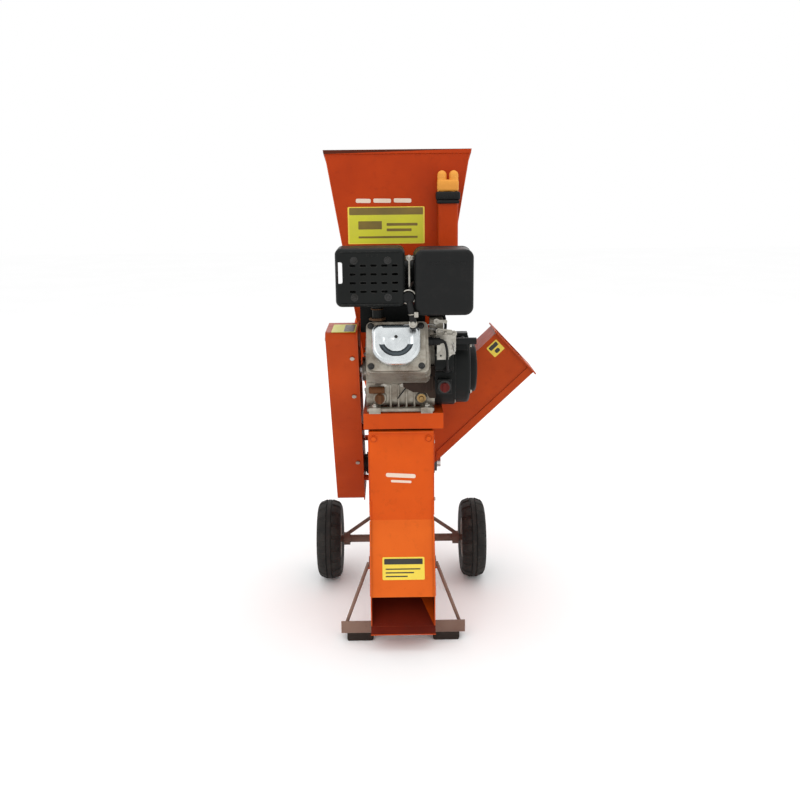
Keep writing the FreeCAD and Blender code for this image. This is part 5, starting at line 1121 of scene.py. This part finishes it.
def push_stick():
    """Black collar and shaft, yellow moulded two-knuckle head with ribs."""
    low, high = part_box("push_stick")
    x, y = (low.x + high.x) / 2, (low.y + high.y) / 2
    collar_top = high.z - 0.066
    dark = Shape()
    dark.block((x - 0.020, y - 0.015, low.z), (x + 0.020, y + 0.015, collar_top - 0.012), 0.005, 4)
    dark.block((x - 0.035, y - 0.026, collar_top - 0.0245), (x + 0.035, y + 0.026, collar_top), 0.005, 4)
    for k in range(6):
        rib = x - 0.029 + k * 0.0106
        dark.block((rib, y - 0.0266, collar_top - 0.020), (rib + 0.005, y - 0.025, collar_top - 0.005),
                0.0008)
    piece = dark.finish("stick_shaft_and_collar", "black_plastic", body="push_stick")
    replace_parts(piece, "push_stick")
    head = Shape()
    head.block((x - 0.031, y - 0.017, collar_top), (x + 0.031, y + 0.017, collar_top + 0.034), 0.007, 5)
    for side in (-0.017, 0.017):
        top = high.z - 0.006
        profile = [(0, 0.0134)]
        run = top - collar_top
        for k in range(10):
            angle = math.radians(90 * k / 9)
            profile.append(((run - 0.0134 + 0.0134 * math.sin(angle)) / run, max(0.0004,
                    0.0134 * math.cos(angle))))
        head.lathe((x + side, y, collar_top), (x + side, y, top), profile, 36)
        for k in range(3):
            z = collar_top + 0.020 + 0.011 * k
            head.ring((x + side, y, z), (0, 0, 1), 0.0132, 0.0009)
    head.finish("stick_head", "stick_yellow", body="push_stick")
    holder_low, holder_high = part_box("stick_holder")
    trim = Shape()
    outline = [Vector((sx * (holder_high.x - holder_low.x) / 2 + x, y + sy * 0.0285, holder_high.z - 0.004))
            for sx, sy in ((1, 1), (-1, 1), (-1, -1), (1, -1))]
    trim.tube(outline + outline[:1], 0.0048, 12, False)
    trim.finish("stick_holder_trim", "black_plastic")


def tyre(side, centre):
    """Pneumatic tyre with a ribbed tread, shoulder lugs and ringed walls."""
    outer, half, bore = 0.1298, 0.0388, 0.0662
    around, section = 240, []
    for k in range(7):
        section.append((-half * 0.82 - 0.003 * math.sin(k / 6 * math.pi), bore + 0.012 * k / 6, 0.0))
    for k in range(8):
        angle = math.radians(180 - 68 * k / 7)
        section.append((-half + 0.027 + 0.027 * math.cos(angle), outer - 0.027 + 0.027 * math.sin(angle),
                0.0))
    crown = [(-0.0118, 1), (-0.0095, 1), (-0.0090, 0), (-0.0062, 0), (-0.0058, 1), (-0.002, 1), (0.002, 1),
            (0.0058, 1), (0.0062, 0), (0.0090, 0), (0.0095, 1), (0.0118, 1)]
    profile = []
    for x, r, _ in section[:-2]:
        profile.append((x, r))
    shoulder = len(profile)
    for x, up in crown:
        profile.append((x, outer - (0 if up else 0.0036)))
    mirrored = [(-x, r) for x, r in reversed(profile[:shoulder])]
    profile = profile + mirrored
    shape = Shape()
    rows = []
    for j in range(around):
        angle = 2 * math.pi * j / around
        lug = 1.0 if (j // 4) % 3 else 0.0
        lug_far = 1.0 if ((j + 6) // 4) % 3 else 0.0
        ring = []
        for k, (x, r) in enumerate(profile):
            on_shoulder = r > outer - 0.018 and abs(x) > 0.011
            if on_shoulder:
                r -= 0.0034 * (1 - (lug if x < 0 else lug_far))
            elif r < outer - 0.02 and abs(x) > 0.030:
                x += math.copysign(0.0006 * math.sin(r * 1400), x)
            ring.append((centre.x + x, centre.y + r * math.cos(angle), centre.z + r * math.sin(angle)))
        rows.append(ring)
    shape.grid(rows, True, True)
    piece = shape.finish(f"tyre_tread_{side}", "tyre", body=f"wheel_{side}", angle=30)
    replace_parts(piece, f"tyre_{side}")


def wheel_details(side, centre, out):
    bead = Shape()
    for sign in (-1, 1):
        bead.ring(centre + Vector((0.0305 * sign, 0, 0)), (1, 0, 0), 0.0655, 0.0024, 72)
        bead.ring(centre + Vector((0.0045 * sign, 0, 0)), (1, 0, 0), 0.050, 0.0015, 60)
        bead.ring(centre + Vector((0.0045 * sign, 0, 0)), (1, 0, 0), 0.026, 0.0015, 48)
    bead.finish(f"rim_beads_{side}", "rim_white", body=f"wheel_{side}")
    bolts = Shape()
    for k in range(5):
        angle = math.radians(36 + 72 * k)
        seat = centre + Vector((out * 0.003, 0.036 * math.cos(angle), 0.036 * math.sin(angle)))
        bolts.bolt(seat, (out, 0, 0), 0.009)
    bolts.finish(f"rim_bolts_{side}", "zinc", body=f"wheel_{side}")
    valve = Shape()
    foot = centre + Vector((out * 0.010, 0, 0.0575))
    valve.lathe(foot, foot + Vector((out * 0.020, 0, -0.010)),
            [(0, 0.0045), (0.25, 0.0042), (0.35, 0.0026), (0.9, 0.0026), (1, 0.002)], 16)
    valve.finish(f"valve_stem_{side}", "tyre", LOOKS["lead_rubber"], body=f"wheel_{side}")
    cap = Shape()
    end = centre + Vector((out * 0.0322, 0, 0))
    cap.rod(end - Vector((out * 0.001, 0, 0)), end + Vector((out * 0.0012, 0, 0)), 0.0165, 40)
    cap.finish(f"axle_washer_{side}", "zinc")


def feet():
    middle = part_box("rubber_feet")[1].x - 0.037
    ribs = Shape()
    for sign in (-1, 1):
        for k in range(4):
            z = 0.0045 + 0.0050 * k
            outline = round_rect(0.0370, 0.0250, 0.006, None, 5)
            path = [Vector((sign * middle + px, py, z)) for px, py in outline]
            ribs.tube(path + path[:1], 0.0011, 8, False)
    ribs.finish("feet_ribs", "feet_rubber")


def guard_details():
    vents = Shape()
    aim = Vector((0, 0.187, -0.341)).normalized()
    across = Vector((0, aim.z, -aim.y))
    at = from_corner("guard_cover")
    middle = at(-0.3, 247.792, 276)
    for k in range(7):
        spot = middle + aim * (k - 3) * 0.022
        a, b = spot - across * 0.040, spot + across * 0.040
        vents.tube([a, a.lerp(b, 0.5) + Vector((0.0, 0, 0)), b], 0.0022, 10)
    vents.moved(Matrix.Translation((0.0006, 0, 0)))
    vents.finish("guard_louvres", "body_orange")
    bolts = Shape()
    for y, z in ((173.792, 478), (338.792, 178), (415.792, 38), (73.792, 548)):
        bolts.bolt(at(0, y, z), (-1, 0, 0), 0.010)
    bolts.finish("guard_bolts", "zinc")


CHANNEL_GREY = metal("channel_shadow", (0.085, 0.10, 0.11), (0.05, 0.055, 0.06), 0.45)
BLACK_OXIDE = metal("black_oxide", (0.05, 0.05, 0.05), (0.03, 0.028, 0.025), 0.35)
RUSTY = metal("heat_stained_steel", (0.16, 0.09, 0.05), (0.07, 0.035, 0.02), 0.6, (1, 1, 1), 0.0008)

# ================================================================ make

camera()
floor()
lights()
labels()
body_hardware()
handle_grip()
curtain()
valve_cover()
breather()
muffler_details()
cleaner_details()
crankcase_details()
controls()
shroud_details()
tank_details()
ignition()
starter_rope()
push_stick()
tyre("left", WHEEL_LEFT)
tyre("right", WHEEL_RIGHT)
wheel_details("left", WHEEL_LEFT, -1)
wheel_details("right", WHEEL_RIGHT, 1)
feet()
guard_details()

# The hopper, stick holder, guard, guard back plate and chute take darker copies of the orange paint as painted
# shade. The discharge front takes a brighter copy as painted light.
OVERRIDES = {"dipstick": BROWN_PLASTIC, "carburettor": LOOKS["engine_alloy"], "hopper": HOPPER_SHADED_ORANGE,
        "stick_holder": HOPPER_SHADED_ORANGE, "guard_cover": GUARD_AND_CHUTE_SHADED_ORANGE, "guard_back_plate": GUARD_AND_CHUTE_SHADED_ORANGE,
        "discharge_front": PLATE_LIT_ORANGE, "chipper_chute": GUARD_AND_CHUTE_SHADED_ORANGE}
for node, obj in NODES.items():
    obj.data.materials.clear()
    obj.data.materials.append(OVERRIDES.get(node, LOOKS[SLOTS[node]]))
    for polygon in obj.data.polygons:
        polygon.material_index = 0


def repaint(node, material, low, high, facing=None):
    """Gives another material to a node's faces inside a box, if asked only those that face a point."""
    mesh = NODES[node].data
    mesh.materials.append(material)
    index = len(mesh.materials) - 1
    for polygon in mesh.polygons:
        if all(low[k] <= polygon.center[k] <= high[k] for k in range(3)):
            if facing is None or polygon.normal.dot(Vector(facing) - polygon.center) > 0:
                polygon.material_index = index


shroud_at = from_corner("fan_shroud")
repaint("fan_shroud", LOOKS["zinc"], shroud_at(3.5, 6.4, 153.5), shroud_at(36.5, 9.1, 208.5))
# Painted light: the deflector's faces on the discharge front take the brighter orange copy.
repaint("discharge_front", DEFLECTOR_LIT_ORANGE, (-0.2, -0.08, 0.15), (0.2, 0.0385, 0.3455), (0, -0.5, 0.6))
# Painted shade: the hopper's faces along its top rim take the dark brown copy.
repaint("hopper", HEM_PAINTED_SHADE, (-0.3, 0.30, HOPPER_HIGH.z - 0.0056), (0.3, 0.75, 1.40))
# Painted shade: faces inside the discharge mouth that face its middle take the dark red copy.
for node in ("discharge_front", "side_plate_left", "side_plate_right", "rotor_housing"):
    repaint(node, MOUTH_PAINTED_SHADE, (-0.0905, -0.08, 0.05), (0.0905, 0.12, 0.30), (0, -0.03, 0.11))
# Painted light: the bolt heads on the front plate take its brighter orange copy.
for x in (-0.077, 0.077):
    low = Vector((x - 0.015, FRONT_PLATE_Y - 0.017, PLATE_HIGH.z - 0.037))
    repaint("fasteners", PLATE_LIT_ORANGE, low, low + mm(30, 25, 25))
